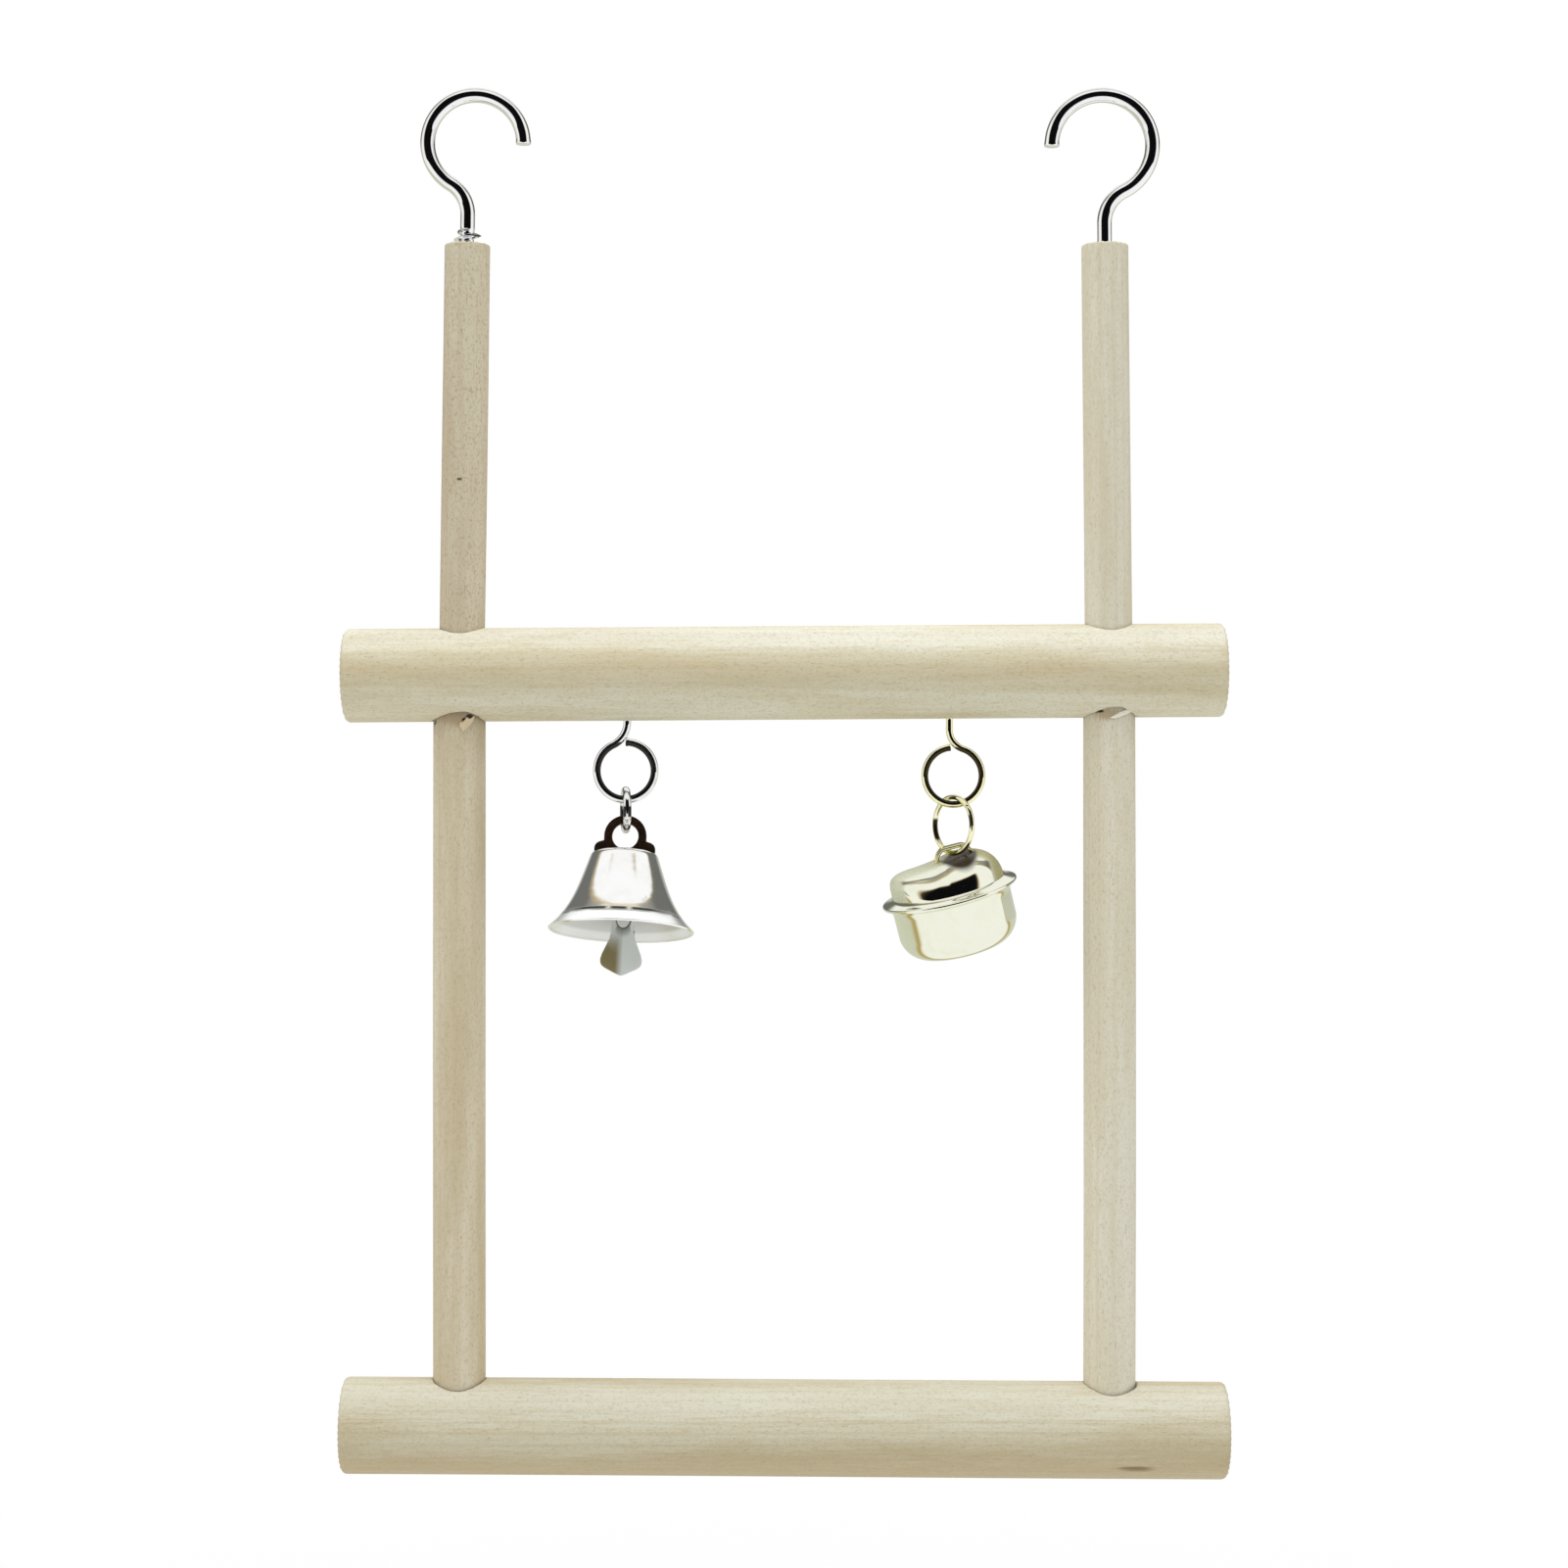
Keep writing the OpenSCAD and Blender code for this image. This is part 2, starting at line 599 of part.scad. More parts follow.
module bell_bail() {
    shoulder = bail_shoulder_h - bail_base;
    color(dark_bronze)
    bell_frame()
    difference() {
        upright_plate(bail_t) {
            translate([0, bail_hole_z]) circle(r = bail_hole_r + bail_rim);
            translate([-bail_hole_r - bail_rim, crown_z])
                square([2 * (bail_hole_r + bail_rim), bail_hole_z - crown_z]);
            for (side = [-1, 1])
                translate([side * (bail_shoulder_w / 2 - shoulder), crown_z + bail_base])
                    circle(r = shoulder);
            translate([-bail_shoulder_w / 2 + shoulder, crown_z])
                square([bail_shoulder_w - 2 * shoulder, bail_shoulder_h]);
            translate([-bail_shoulder_w / 2, crown_z])
                square([bail_shoulder_w, bail_base]);
            translate([-bail_tang_w / 2, tang_foot_z])
                square([bail_tang_w, crown_z - tang_foot_z]);
        }
        for (hole = [[bail_hole_z, bail_hole_r], [tang_hole_z, tang_hole_r]])
            translate([0, bail_t / 2 + cut_over, hole[0]])
                rotate([90, 0, 0]) cylinder(r = hole[1], h = bail_t + 2 * cut_over);
        translate([0, 0, crown_z - bail_shoulder_w / 2])
            difference() {
                cube([bail_shoulder_w + cut_over, bail_t + cut_over, bail_shoulder_w],
                    center = true);
                cube([bail_tang_w, bail_t + 2 * cut_over, bail_shoulder_w + cut_over],
                    center = true);
            }
    }
}

module clapper_link() {
    half = clapper_link_len / 2 - clapper_link_r;
    color(steel)
    translate(clapper_link_hang - [0, 0, clapper_link_len / 2])
    rotate([0, 0, 90]) {
        translate([0, 0, half])
            wire_arc(clapper_link_r, clapper_link_wire_d, 0, 180);
        translate([0, 0, -half])
            wire_arc(clapper_link_r, clapper_link_wire_d, 180, 360);
        for (side = [-1, 1])
            translate([side * clapper_link_r, 0, -half])
                cylinder(d = clapper_link_wire_d, h = 2 * half);
    }
}

// The right half of the clapper, drawn from the middle of its hole down
module clapper_half() {
    w = clapper_blade_w / 2;
    polygon([[0, 0], [clapper_neck_w / 2, 0],
        [clapper_neck_w / 2, -clapper_len * neck_drop_share],
        [w, -clapper_len * blade_drop_share], [w, -clapper_len * blade_low_share],
        [w * chin_w_share, -clapper_len * chin_drop_share],
        [w * tip_w_share, -clapper_len * tip_drop_share], [0, -clapper_len]]);
    intersection() {
        circle(d = clapper_neck_w + clapper_t);
        translate([0, -clapper_neck_w]) square([clapper_neck_w, 2 * clapper_neck_w]);
    }
}

module clapper() {
    eye_top = (clapper_neck_w + clapper_t) / 2;
    color(satin_nickel)
    translate(clapper_hang - [0, 0, clapper_hole_drop])
    difference() {
        union() {
            for (side = [0, 1])
                mirror([side, 0, 0])
                    rotate([0, 0, clapper_fold]) upright_plate(clapper_t) clapper_half();
            translate([0, 0, -clapper_len]) cylinder(d = clapper_t, h = clapper_len + eye_top);
        }
        translate([0, clapper_blade_w / 2, 0])
            rotate([90, 0, 0]) cylinder(r = clapper_hole_r, h = clapper_blade_w);
    }
}

// The jingle bell's own frame: its hanging point, with its axis along Z
module jingle_frame() {
    translate(jingle_hang)
        rotate([0, -jingle_lean, 0])
            rotate([jingle_tip, 0, 0])
                translate([-strap_shift, 0, 0]) children();
}

// Half the outline of a cup that stands on z = 0 with its rounded end at z = h
module cup_outline(r, h, round) {
    square([r - round, h]);
    square([r, h - round]);
    translate([r - round, h - round]) circle(r = round);
}

// A turned cup with its open end at z = 0
module cup(r, h, round) {
    difference() {
        rotate_extrude() intersection() {
            cup_outline(r, h, round);
            square([r, h]);
        }
        translate([0, 0, -cut_over])
            rotate_extrude() intersection() {
                cup_outline(r - shell_wall, h - shell_wall + cut_over, round - shell_wall);
                square([r, h + cut_over]);
            }
    }
}

module jingle_top_shell() {
    slit = strap_t + 2 * strap_hole_play;
    flange_r = seam_r - seam_lip - fit_gap;
    color(brass)
    jingle_frame()
    translate([0, 0, seam_z])
    difference() {
        union() {
            cup(upper_shell_r, upper_shell_h, upper_round);
            difference() {
                cylinder(r = flange_r, h = flange_t);
                translate([0, 0, -cut_over])
                    cylinder(r = upper_shell_r - shell_wall, h = flange_t + 2 * cut_over);
            }
        }
        for (side = [-1, 1])
            translate([strap_shift + side * (strap_span + strap_t) / 2, 0, upper_shell_h])
                cube([slit, strap_band + 2 * strap_hole_play, 4 * shell_wall], center = true);
    }
}

module jingle_bottom_shell() {
    color(brass)
    jingle_frame()
    translate([0, 0, seam_z])
    difference() {
        union() {
            mirror([0, 0, 1]) cup(lower_shell_r, lower_shell_h, lower_round);
            difference() {
                rotate_extrude() {
                    translate([seam_r - seam_h / 2, flange_t / 2]) circle(d = seam_h);
                    translate([lower_shell_r - shell_wall, -seam_lip])
                        square([seam_r - seam_h / 2 - lower_shell_r + shell_wall, seam_lip]);
                }
                cylinder(r = seam_r - seam_lip, h = flange_t + fit_gap);
                cylinder(r = upper_shell_r + fit_gap, h = seam_h);
                translate([0, 0, -seam_h])
                    cylinder(r = lower_shell_r - shell_wall, h = seam_h + cut_over);
            }
        }
        for (turn = [0, 90])
            rotate([0, 0, 45 + turn])
                translate([0, 0, -lower_shell_h - cut_over])
                    linear_extrude(shell_wall + 2 * cut_over) {
                        translate([-slot_len / 2, -slot_w / 2]) square([slot_len, slot_w]);
                        for (side = [-1, 1])
                            translate([side * slot_len / 2, 0]) circle(r = slot_end_r);
                    }
    }
}

module jingle_strap() {
    leg = strap_rise + shell_wall + strap_hole_play + strap_t;
    color(brass)
    jingle_frame()
    translate([strap_shift, 0, 0]) {
        translate([-strap_span / 2 - strap_t, -strap_band / 2, strap_in_z])
            cube([strap_span + 2 * strap_t, strap_band, strap_t]);
        for (side = [0, 1])
            mirror([side, 0, 0]) {
                translate([strap_span / 2, -strap_band / 2, strap_in_z - leg])
                    cube([strap_t, strap_band, leg]);
                translate([strap_span / 2, -strap_band / 2, strap_in_z - leg])
                    cube([strap_t + strap_tab, strap_band, strap_t]);
            }
    }
}

module jingle_pea() {
    color(steel)
    jingle_frame()
    translate(pea_at) sphere(d = pea_d);
}

top_perch();
bottom_perch();
left_rod();
right_rod();
left_post();
right_post();
left_screw_hook();
right_screw_hook();
silver_eye_screw();
brass_eye_screw();
silver_link();
bell_cup();
bell_bail();
clapper_link();
clapper();
brass_ring();
jingle_top_shell();
jingle_bottom_shell();
jingle_strap();
jingle_pea();
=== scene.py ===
# %% [markdown]
# # A hanging swing with two wooden perches
# The real swing is six pieces of raw dowel, four screws bent from wire, a link, a ring and two
# small bells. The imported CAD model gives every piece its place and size. This lesson dresses
# each one: it works out a finer surface from a formula, and gives it wood or metal made of nodes.

import bpy
import numpy as np
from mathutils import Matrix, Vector


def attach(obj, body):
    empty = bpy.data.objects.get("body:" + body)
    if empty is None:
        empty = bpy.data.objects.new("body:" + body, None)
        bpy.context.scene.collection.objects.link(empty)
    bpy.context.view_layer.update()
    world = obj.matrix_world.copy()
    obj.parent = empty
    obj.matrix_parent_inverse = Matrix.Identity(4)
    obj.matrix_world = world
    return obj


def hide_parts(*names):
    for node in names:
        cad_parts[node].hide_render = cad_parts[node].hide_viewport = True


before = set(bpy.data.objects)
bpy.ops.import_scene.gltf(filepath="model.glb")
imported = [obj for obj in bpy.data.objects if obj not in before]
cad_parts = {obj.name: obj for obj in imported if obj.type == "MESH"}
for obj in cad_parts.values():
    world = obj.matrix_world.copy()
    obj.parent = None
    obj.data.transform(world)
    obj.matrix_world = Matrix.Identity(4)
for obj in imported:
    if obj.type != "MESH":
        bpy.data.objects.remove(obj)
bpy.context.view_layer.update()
MM = 0.001

# %% [markdown]
# ## Places and turns
# The swing is not quite square: each upper rod leans a little, and the perches slope by less
# than half a degree. A small matrix for each leaning piece keeps the formulas simple, because a
# piece is then drawn upright in millimetres and set in place at the end.

# %% Matrices
def shift(x, y, z):
    """A move by (x, y, z)."""
    m = np.eye(4)
    m[:3, 3] = (x, y, z)
    return m


def turn(axis, degrees):
    """A turn about one axis of the frame by the right-hand rule."""
    a, b = {"x": (1, 2), "y": (2, 0), "z": (0, 1)}[axis]
    c, s = np.cos(np.radians(degrees)), np.sin(np.radians(degrees))
    m = np.eye(4)
    m[a, a], m[a, b], m[b, a], m[b, b] = c, -s, s, c
    return m


def placed(points, where):
    """Points times the turn, plus the move."""
    return points @ where[:3, :3].T + where[:3, 3]


FLIP = np.diag([-1.0, 1.0, 1.0, 1.0])
SEAT_X, LEFT_OFFSET, RIGHT_OFFSET = 50.3, 1.1, 0.25
LEFT_HANGER = shift(-SEAT_X, 0, 0) @ turn("y", 0.75) @ shift(-LEFT_OFFSET, 0, 0)
RIGHT_HANGER = shift(SEAT_X, 0, 0) @ turn("y", -0.55) @ FLIP @ shift(-RIGHT_OFFSET, 0, 0)
LEFT_POST_X, RIGHT_POST_X = -53.0, 51.55
TOP_Z, TOP_SLOPE, BOTTOM_Z, BOTTOM_SLOPE = -91.7, 0.4, -213.1, 0.36


def top_axis_z(x):
    """Height of the top perch's axis: a straight line that climbs to the right."""
    return TOP_Z + x * np.tan(np.radians(TOP_SLOPE))


def bottom_axis_z(x):
    """Height of the bottom perch's axis: a straight line that falls to the right."""
    return BOTTOM_Z - x * np.tan(np.radians(BOTTOM_SLOPE))


print("top perch axis at the posts:", top_axis_z(LEFT_POST_X), top_axis_z(RIGHT_POST_X))

# %% [markdown]
# ## From a grid of points to a mesh
# Every new piece is a grid: rings of points, one after another. Neighbouring rings are joined by
# quads, and a ring at an open end is closed by a fan to one pole point. numpy builds the index
# arrays in one go. The signed volume tells whether the faces look outwards, and turns them if not.

# %% Grid skin
def outward(points, quads, tris):
    """Signed volume is the sum of p0 . (p1 x p2) / 6 over all triangles. Below zero the faces
    look inwards, so they are turned."""
    fans = np.concatenate([quads[:, [0, 1, 2]], quads[:, [0, 2, 3]], tris])
    p = points[fans]
    volume = np.einsum("ij,ij->", p[:, 0], np.cross(p[:, 1], p[:, 2])) / 6
    return (quads, tris, volume) if volume > 0 else (quads[:, ::-1], tris[:, ::-1], -volume)


def add_object(name, data):
    """A new object in the scene."""
    made = bpy.data.objects.new(name, data)
    bpy.context.scene.collection.objects.link(made)
    return made


def skin(name, rows, poles=None, marks=None, where=None, crease=None):
    """Mesh on rows (n, m, 3) in mm: ring i joins ring i + 1. With two poles the ends are closed
    by fans, and without them the last ring joins the first. marks are values for each point."""
    n, m = rows.shape[:2]
    ring = np.arange(m)
    after = (ring + 1) % m
    a = np.arange(n - 1 if poles is not None else n)[:, None] * m
    b = (a + m) % (n * m)
    quads = np.stack([a + ring, a + after, b + after, b + ring], -1).reshape(-1, 4)
    points = rows.reshape(-1, 3)
    tris = np.zeros((0, 3), int)
    if poles is not None:
        points = np.concatenate([points, np.array(poles, float)])
        low, high = n * m, n * m + 1
        last = (n - 1) * m
        tris = np.concatenate([
            np.stack([np.full(m, low), after, ring], -1),
            np.stack([np.full(m, high), last + ring, last + after], -1)])
    if where is not None:
        points = placed(points, where)
    quads, tris, volume = outward(points, quads, tris)
    mesh = bpy.data.meshes.new(name)
    mesh.vertices.add(len(points))
    mesh.vertices.foreach_set("co", (points * MM).astype(np.float32).ravel())
    corners = np.concatenate([quads.ravel(), tris.ravel()]).astype(np.int32)
    starts = np.concatenate([np.arange(len(quads)) * 4, len(quads) * 4 + np.arange(len(tris)) * 3])
    mesh.loops.add(len(corners))
    mesh.loops.foreach_set("vertex_index", corners)
    mesh.polygons.add(len(starts))
    mesh.polygons.foreach_set("loop_start", starts.astype(np.int32))
    mesh.update(calc_edges=True)
    mesh.validate()
    for key, values in (marks or {}).items():
        flat = np.asarray(values, float).reshape(-1)
        flat = np.concatenate([flat, np.full(len(points) - len(flat), flat[-1])])
        kept = mesh.attributes.new(key, "FLOAT", "POINT")
        kept.data.foreach_set("value", flat.astype(np.float32))
    if crease is not None:
        mesh.set_sharp_from_angle(angle=np.radians(crease))
    print(f"{name}: {len(mesh.polygons)} faces, {volume:.1f} mm3")
    return add_object(name, mesh)


def settle(piece, body, slot, material, *nodes):
    """Rides the piece on its body, hides the CAD nodes that it stands for and gives it its finish.
    Wood stays out of mirrors, so that the small bells show the plain set and no striped brown."""
    piece.visible_glossy = not slot.endswith("wood")
    piece.data.materials.clear()
    piece.data.materials.append(material)
    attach(piece, body)
    if nodes:
        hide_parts(*nodes)
    return piece


print("grid helpers ready")

# %% [markdown]
# ## Finishes made of nodes
# Raw dowel wood has growth rings round a pith that lies off the dowel's middle, so the rings
# show as long lines on the side and as arcs on the sawn end. One set of rings in space gives
# both. Stretched noise adds fibres and pores. Metals get their looks from what they reflect, so
# their nodes only vary roughness and colour a little and add fine scratches. Marks kept on the
# mesh also paint shade, dark reflections and highlights onto some wood and metal.

# %% Node helpers
class Nodes:
    """The node tree of a material or a world, with short ways to add and join nodes."""

    def __init__(self, owner, output="ShaderNodeOutputMaterial"):
        self.owner = owner
        owner.use_nodes = True
        self.tree = owner.node_tree
        self.tree.nodes.clear()
        self.out = self.add(output)

    def add(self, kind, settings=None, **inputs):
        """A node of one kind with its settings and the values or links of its inputs, which go by
        name or by i and a number. Colours are opaque."""
        node = self.tree.nodes.new(kind)
        for key, value in (settings or {}).items():
            setattr(node, key, value)
        for key, value in inputs.items():
            numbered = key[0] == "i" and key[1:].isdigit()
            socket = node.inputs[int(key[1:]) if numbered else key.replace("_", " ")]
            if isinstance(value, bpy.types.NodeSocket):
                self.tree.links.new(value, socket)
            else:
                socket.default_value = (*value, 1) if socket.type == "RGBA" else value
        return node

    def show(self, shader):
        """Joins a shader to the output and gives back what the tree belongs to."""
        self.tree.links.new(shader, self.out.inputs[0])
        return self.owner

    def surface(self, **inputs):
        """The usual surface shader, joined to the output."""
        return self.show(self.add("ShaderNodeBsdfPrincipled", None, **inputs).outputs[0])

    def fork(self, flag, no, yes):
        """One shader or another, by a flag of the ray."""
        return self.add("ShaderNodeMixShader", None, i0=flag, i1=no, i2=yes).outputs[0]

    def glow(self, kind, colour, strength=1.0):
        """A shader that only shines: the sky's Background or a surface's Emission."""
        return self.add("ShaderNode" + kind, None, Color=colour, Strength=strength).outputs[0]

    def mix(self, factor, a, b, blend="MIX"):
        """Colour a towards colour b by a factor."""
        settings = {"data_type": "RGBA", "blend_type": blend}
        return self.add("ShaderNodeMix", settings, i0=factor, i6=a, i7=b).outputs[2]

    def blend(self, factor, a, b):
        """Value a towards value b by a factor."""
        return self.add("ShaderNodeMix", {"data_type": "FLOAT"}, i0=factor, i2=a, i3=b).outputs[0]

    def span(self, value, low, high, to_low=0.0, to_high=1.0):
        """Value from low..high onto to_low..to_high along a smooth step."""
        return self.add("ShaderNodeMapRange", {"interpolation_type": "SMOOTHSTEP"},
                        i0=value, i1=low, i2=high, i3=to_low, i4=to_high).outputs[0]

    def math(self, operation, a, b=0.0):
        """One operation on one or two values."""
        return self.add("ShaderNodeMath", {"operation": operation}, i0=a, i1=b).outputs[0]

    def plus(self, a, b):
        """a + b."""
        return self.math("ADD", a, b)

    def minus(self, a, b):
        """a - b."""
        return self.math("SUBTRACT", a, b)

    def times(self, a, b):
        """a * b."""
        return self.math("MULTIPLY", a, b)

    def place(self):
        """Where a point lies on the piece, in metres."""
        return self.add("ShaderNodeTexCoord").outputs["Object"]

    def length(self, vector):
        """How long a vector is."""
        settings = {"operation": "LENGTH"}
        return self.add("ShaderNodeVectorMath", settings, i0=vector).outputs["Value"]

    def mark(self, name):
        """A value that was kept on the mesh."""
        return self.add("ShaderNodeAttribute", {"attribute_name": name}).outputs["Fac"]

    def stretched(self, coords, scale, move=(0, 0, 0)):
        """Coordinates times a scale for each axis, after a move."""
        return self.add("ShaderNodeMapping", Vector=coords, Location=move, Scale=scale).outputs[0]

    def noise(self, coords, scale, move=(0, 0, 0), detail=3.0, roughness=0.6, distortion=0.0):
        """Smooth noise with about so many waves to a metre, as one number or one for each axis."""
        coords = self.stretched(coords, np.broadcast_to(scale, 3).tolist(), move)
        return self.add("ShaderNodeTexNoise", Vector=coords, Scale=1.0, Detail=detail,
                        Roughness=roughness, Distortion=distortion).outputs[0]

    def parts(self, vector):
        """A vector's three coordinates."""
        return self.add("ShaderNodeSeparateXYZ", None, Vector=vector).outputs

    def bump(self, height, strength, distance):
        """Small relief that only tilts the light."""
        return self.add("ShaderNodeBump", None, Strength=strength, Distance=distance,
                        Height=height).outputs[0]

    def ramp(self, value, *stops):
        """Colours at places 0..1, given as (place, colour)."""
        node = self.add("ShaderNodeValToRGB", None, Fac=value)
        marks = node.color_ramp.elements
        marks[0].position, marks[0].color = stops[0][0], (*stops[0][1], 1)
        marks[1].position, marks[1].color = stops[-1][0], (*stops[-1][1], 1)
        for place, colour in stops[1:-1]:
            marks.new(place).color = (*colour, 1)
        return node.outputs[0]


print("node helpers ready")

# %% [markdown]
# ### Wood
# The wood is pale and dry, like basswood or poplar. Its rings are faint, so most of what the eye
# reads is fine fibre and the small brown pores. Each dowel gets its own pith, seed and warmth.
# Sawn ends drink more dirt, so a mark kept on the mesh darkens them. Another mark paints shade
# into holes.

# %% Wood material
# The last colour is painted shade for drilled holes, the gaps beside them and small pits.
PORE, END_GRAIN, HOLE_SHADE = (0.40, 0.28, 0.17), (0.50, 0.38, 0.22), (0.060, 0.030, 0.013)


def raw_wood(name, along, pith, seed, pale, warm, speckle, mottle, spots=()):
    """Wood grain along one axis ("x" or "z"). pith is the ring centre across the axis in metres.
    Each spot is (place, size, colour, strength), an ellipsoid: stains and pin knots, and bands of
    painted highlight and painted shade."""
    n = Nodes(bpy.data.materials.new(name))
    coords = n.place()
    long_way = "xyz".index(along)

    def strands(across, lengthwise, move, *looks):
        """Noise with another scale along the grain than across it."""
        scale = [across] * 3
        scale[long_way] = lengthwise
        return n.noise(coords, scale, move, *looks)

    def darker(*shares):
        """The warm tone times a share for each channel."""
        return tuple(c * k for c, k in zip(warm, shares))

    centre = [-pith[0], -pith[1]]
    centre.insert(long_way, seed * 0.37)
    ring_space = n.stretched(coords, [0.06 if i == long_way else 1.0 for i in range(3)], centre)
    rings = n.add("ShaderNodeTexWave", {
        "wave_type": "RINGS", "rings_direction": along.upper(), "wave_profile": "SIN"},
        Vector=ring_space, Scale=190.0, Distortion=3.2, Detail=3.0, Detail_Scale=0.9,
        Detail_Roughness=0.6).outputs[1]
    tone = strands(170, 20, (seed, seed * 2.1, 0.0), 3.0)
    fibre = strands(3300, 130, (seed * 3.1, 0.0, seed), 4.0, 0.65)
    fine = strands(9000, 900, (0.0, seed * 1.7, seed), 2.0, 0.5)
    pore = strands(5200, 1100, (seed, seed, seed), 2.0, 0.5)
    grain = strands(2600, 1900, (seed * 1.3, seed, 0.0), 3.0, 0.7)
    late, light = darker(0.90, 0.84, 0.72), tuple(min(1.0, c * 1.08) for c in pale)
    colour = n.mix(n.span(tone, 0.36, 0.66), pale, warm)
    colour = n.mix(n.span(rings, 0.66, 0.98, 0.0, 0.26), colour, late)
    colour = n.mix(n.span(fibre, 0.46, 0.74, 0.0, 0.34), colour, late)
    colour = n.mix(n.span(fine, 0.50, 0.70, 0.0, 0.30), colour, light)
    for place, size, stain_and_painted_light, strength in spots:
        scale = [1.0 / s for s in size]
        far = n.length(n.stretched(coords, scale, [-p / s for p, s in zip(place, size)]))
        ragged = n.plus(far, n.times(n.minus(fibre, 0.5), 1.6))
        colour = n.mix(n.span(ragged, 0.25, 1.0, strength, 0.0), colour, stain_and_painted_light)
    colour = n.mix(n.span(grain, 0.49, 0.70, 0.0, mottle), colour, darker(0.80, 0.68, 0.54))
    colour = n.mix(n.span(pore, 0.61, 0.72, 0.0, speckle), colour, PORE)
    colour = n.mix(n.times(n.mark("sawn_end"), 0.50), colour, END_GRAIN)
    # Painted shade: dark in a hole past its edge, just before it, in the gap beside a hole and in
    # pits.
    colour = n.mix(n.times(n.mark("painted_hole_shade"), 0.96), colour, HOLE_SHADE)
    relief = n.plus(n.times(fibre, 0.8), n.times(fine, 0.5))
    relief = n.minus(relief, n.times(n.span(pore, 0.60, 0.72), 0.5))
    relief = n.minus(relief, n.times(n.span(grain, 0.5, 0.7), 0.35))
    print(f"{name}: rings, fibres, pores and {len(spots)} spots")
    return n.surface(Base_Color=colour, Roughness=n.span(fibre, 0.3, 0.8, 0.72, 0.60),
                     Normal=n.bump(relief, 0.55, 0.00012))


# %% [markdown]
# ### Metals
# Plated wire is nearly a mirror. What makes it real is what is not perfect: faint draw lines
# along the wire, a haze that comes and goes and pinhead specks. A dark coat inside the bends is
# a painted dark reflection.
# The bell's sheet metal was spun, so its fine lines run round, which makes its highlights soft.

# %% Metal material
def bright_metal(name, colour, tarnish, rough, haze, scratch, scale, coats=(), metallic=1.0):
    """A metal with a noise for haze, a finer one for specks and a stretched one for scratches.
    coats are (mark on the mesh, colour, roughness, metallic) for places with another finish, and
    for painted shade, painted dark reflections and painted highlights."""
    n = Nodes(bpy.data.materials.new(name))
    coords = n.place()
    cloud = n.noise(coords, 260, detail=4.0, distortion=0.4)
    speck = n.noise(coords, 2600, detail=2.0, roughness=0.5)
    lines = n.noise(coords, scale, roughness=0.7)
    tint = n.mix(n.span(cloud, 0.42, 0.72, 0.0, 0.55), colour, tarnish)
    tint = n.mix(n.span(speck, 0.72, 0.78, 0.0, 2.5 * haze), tint, [c * 0.5 for c in tarnish])
    gloss = n.plus(n.span(cloud, 0.35, 0.75, rough, rough + haze),
                   n.span(speck, 0.66, 0.76, 0.0, haze))
    metal = metallic
    for mark, coat, coat_rough, coat_metal in coats:
        there = n.mark(mark)
        tint = n.mix(there, tint, coat)
        gloss = n.blend(there, gloss, coat_rough)
        metal = n.blend(there, metal, coat_metal)
    print(f"{name}: roughness {rough} to {rough + haze:.2f}, {len(coats)} other coats")
    return n.surface(Base_Color=tint, Metallic=metal, Roughness=gloss,
                     Normal=n.bump(lines, scratch, 0.00004))


ALONG_WIRE, ROUND_BELL = (500, 4000, 500), (300, 300, 6000)
# The dark coat on both wires is a painted dark reflection: on a thread's last turn, inside the
# eyes' loops and on the link and ring.
chrome_wire = bright_metal(
    "bright_nickel_wire", (0.88, 0.885, 0.89), (0.74, 0.74, 0.73), 0.03, 0.04, 0.05, ALONG_WIRE,
    [("painted_dark_reflection", (0.035, 0.033, 0.030), 0.20, 0.9)])
brass_wire = bright_metal(
    "pale_brass_wire", (0.93, 0.90, 0.60), (0.80, 0.72, 0.38), 0.04, 0.05, 0.06, ALONG_WIRE,
    [("painted_dark_reflection", (0.055, 0.042, 0.015), 0.22, 0.9)])
# Past the unbuffed inner side, three coats are painted light: two white bands, on the rim's front
# and inside the lip, are painted highlights, and a dark line above them is a painted dark
# reflection.
spun_nickel = bright_metal(
    "spun_nickel_sheet", (0.96, 0.965, 0.955), (0.88, 0.87, 0.845), 0.085, 0.035, 0.08, ROUND_BELL,
    [("inner_side", (0.70, 0.705, 0.67), 0.44, 0.5),
     ("painted_rim_highlight", (0.99, 0.99, 0.98), 0.30, 0.15),
     ("painted_dark_line", (0.03, 0.027, 0.022), 0.40, 0.3),
     ("painted_lip_highlight", (0.97, 0.97, 0.95), 0.30, 0.15)])
# The clapper's two coats are painted shade: on the lower left facet, and along the hole's V and
# the right edge.
clapper_nickel = bright_metal(
    "stamped_nickel_sheet", (0.74, 0.77, 0.74), (0.70, 0.72, 0.68), 0.36, 0.03, 0.03, 300,
    [("painted_facet_shade", (0.33, 0.27, 0.13), 0.36, 0.35), ("painted_edge_shade", (0.04, 0.032, 0.02), 0.40, 0.3)],
    0.25)
steel_wire = bright_metal("drawn_steel_wire", (0.55, 0.55, 0.54), (0.38, 0.36, 0.33),
                          0.22, 0.15, 0.25, (500, 500, 3000))
# Of its three coats, the second is a painted reflection, a golden cast, and the third is painted
# shade, a dark patch.
brass_sheet = bright_metal(
    "pale_brass_sheet", (0.87, 0.88, 0.745), (0.81, 0.81, 0.63), 0.035, 0.03, 0.05, 700,
    [("satin", (0.70, 0.71, 0.52), 0.45, 0.12), ("painted_gold_reflection", (0.50, 0.46, 0.22), 0.42, 0.2),
     ("slit", (0.035, 0.020, 0.008), 0.35, 0.5)])
strap_brass = bright_metal("rubbed_brass_strap", (0.90, 0.84, 0.42), (0.78, 0.68, 0.28),
                           0.12, 0.05, 0.10, 700)

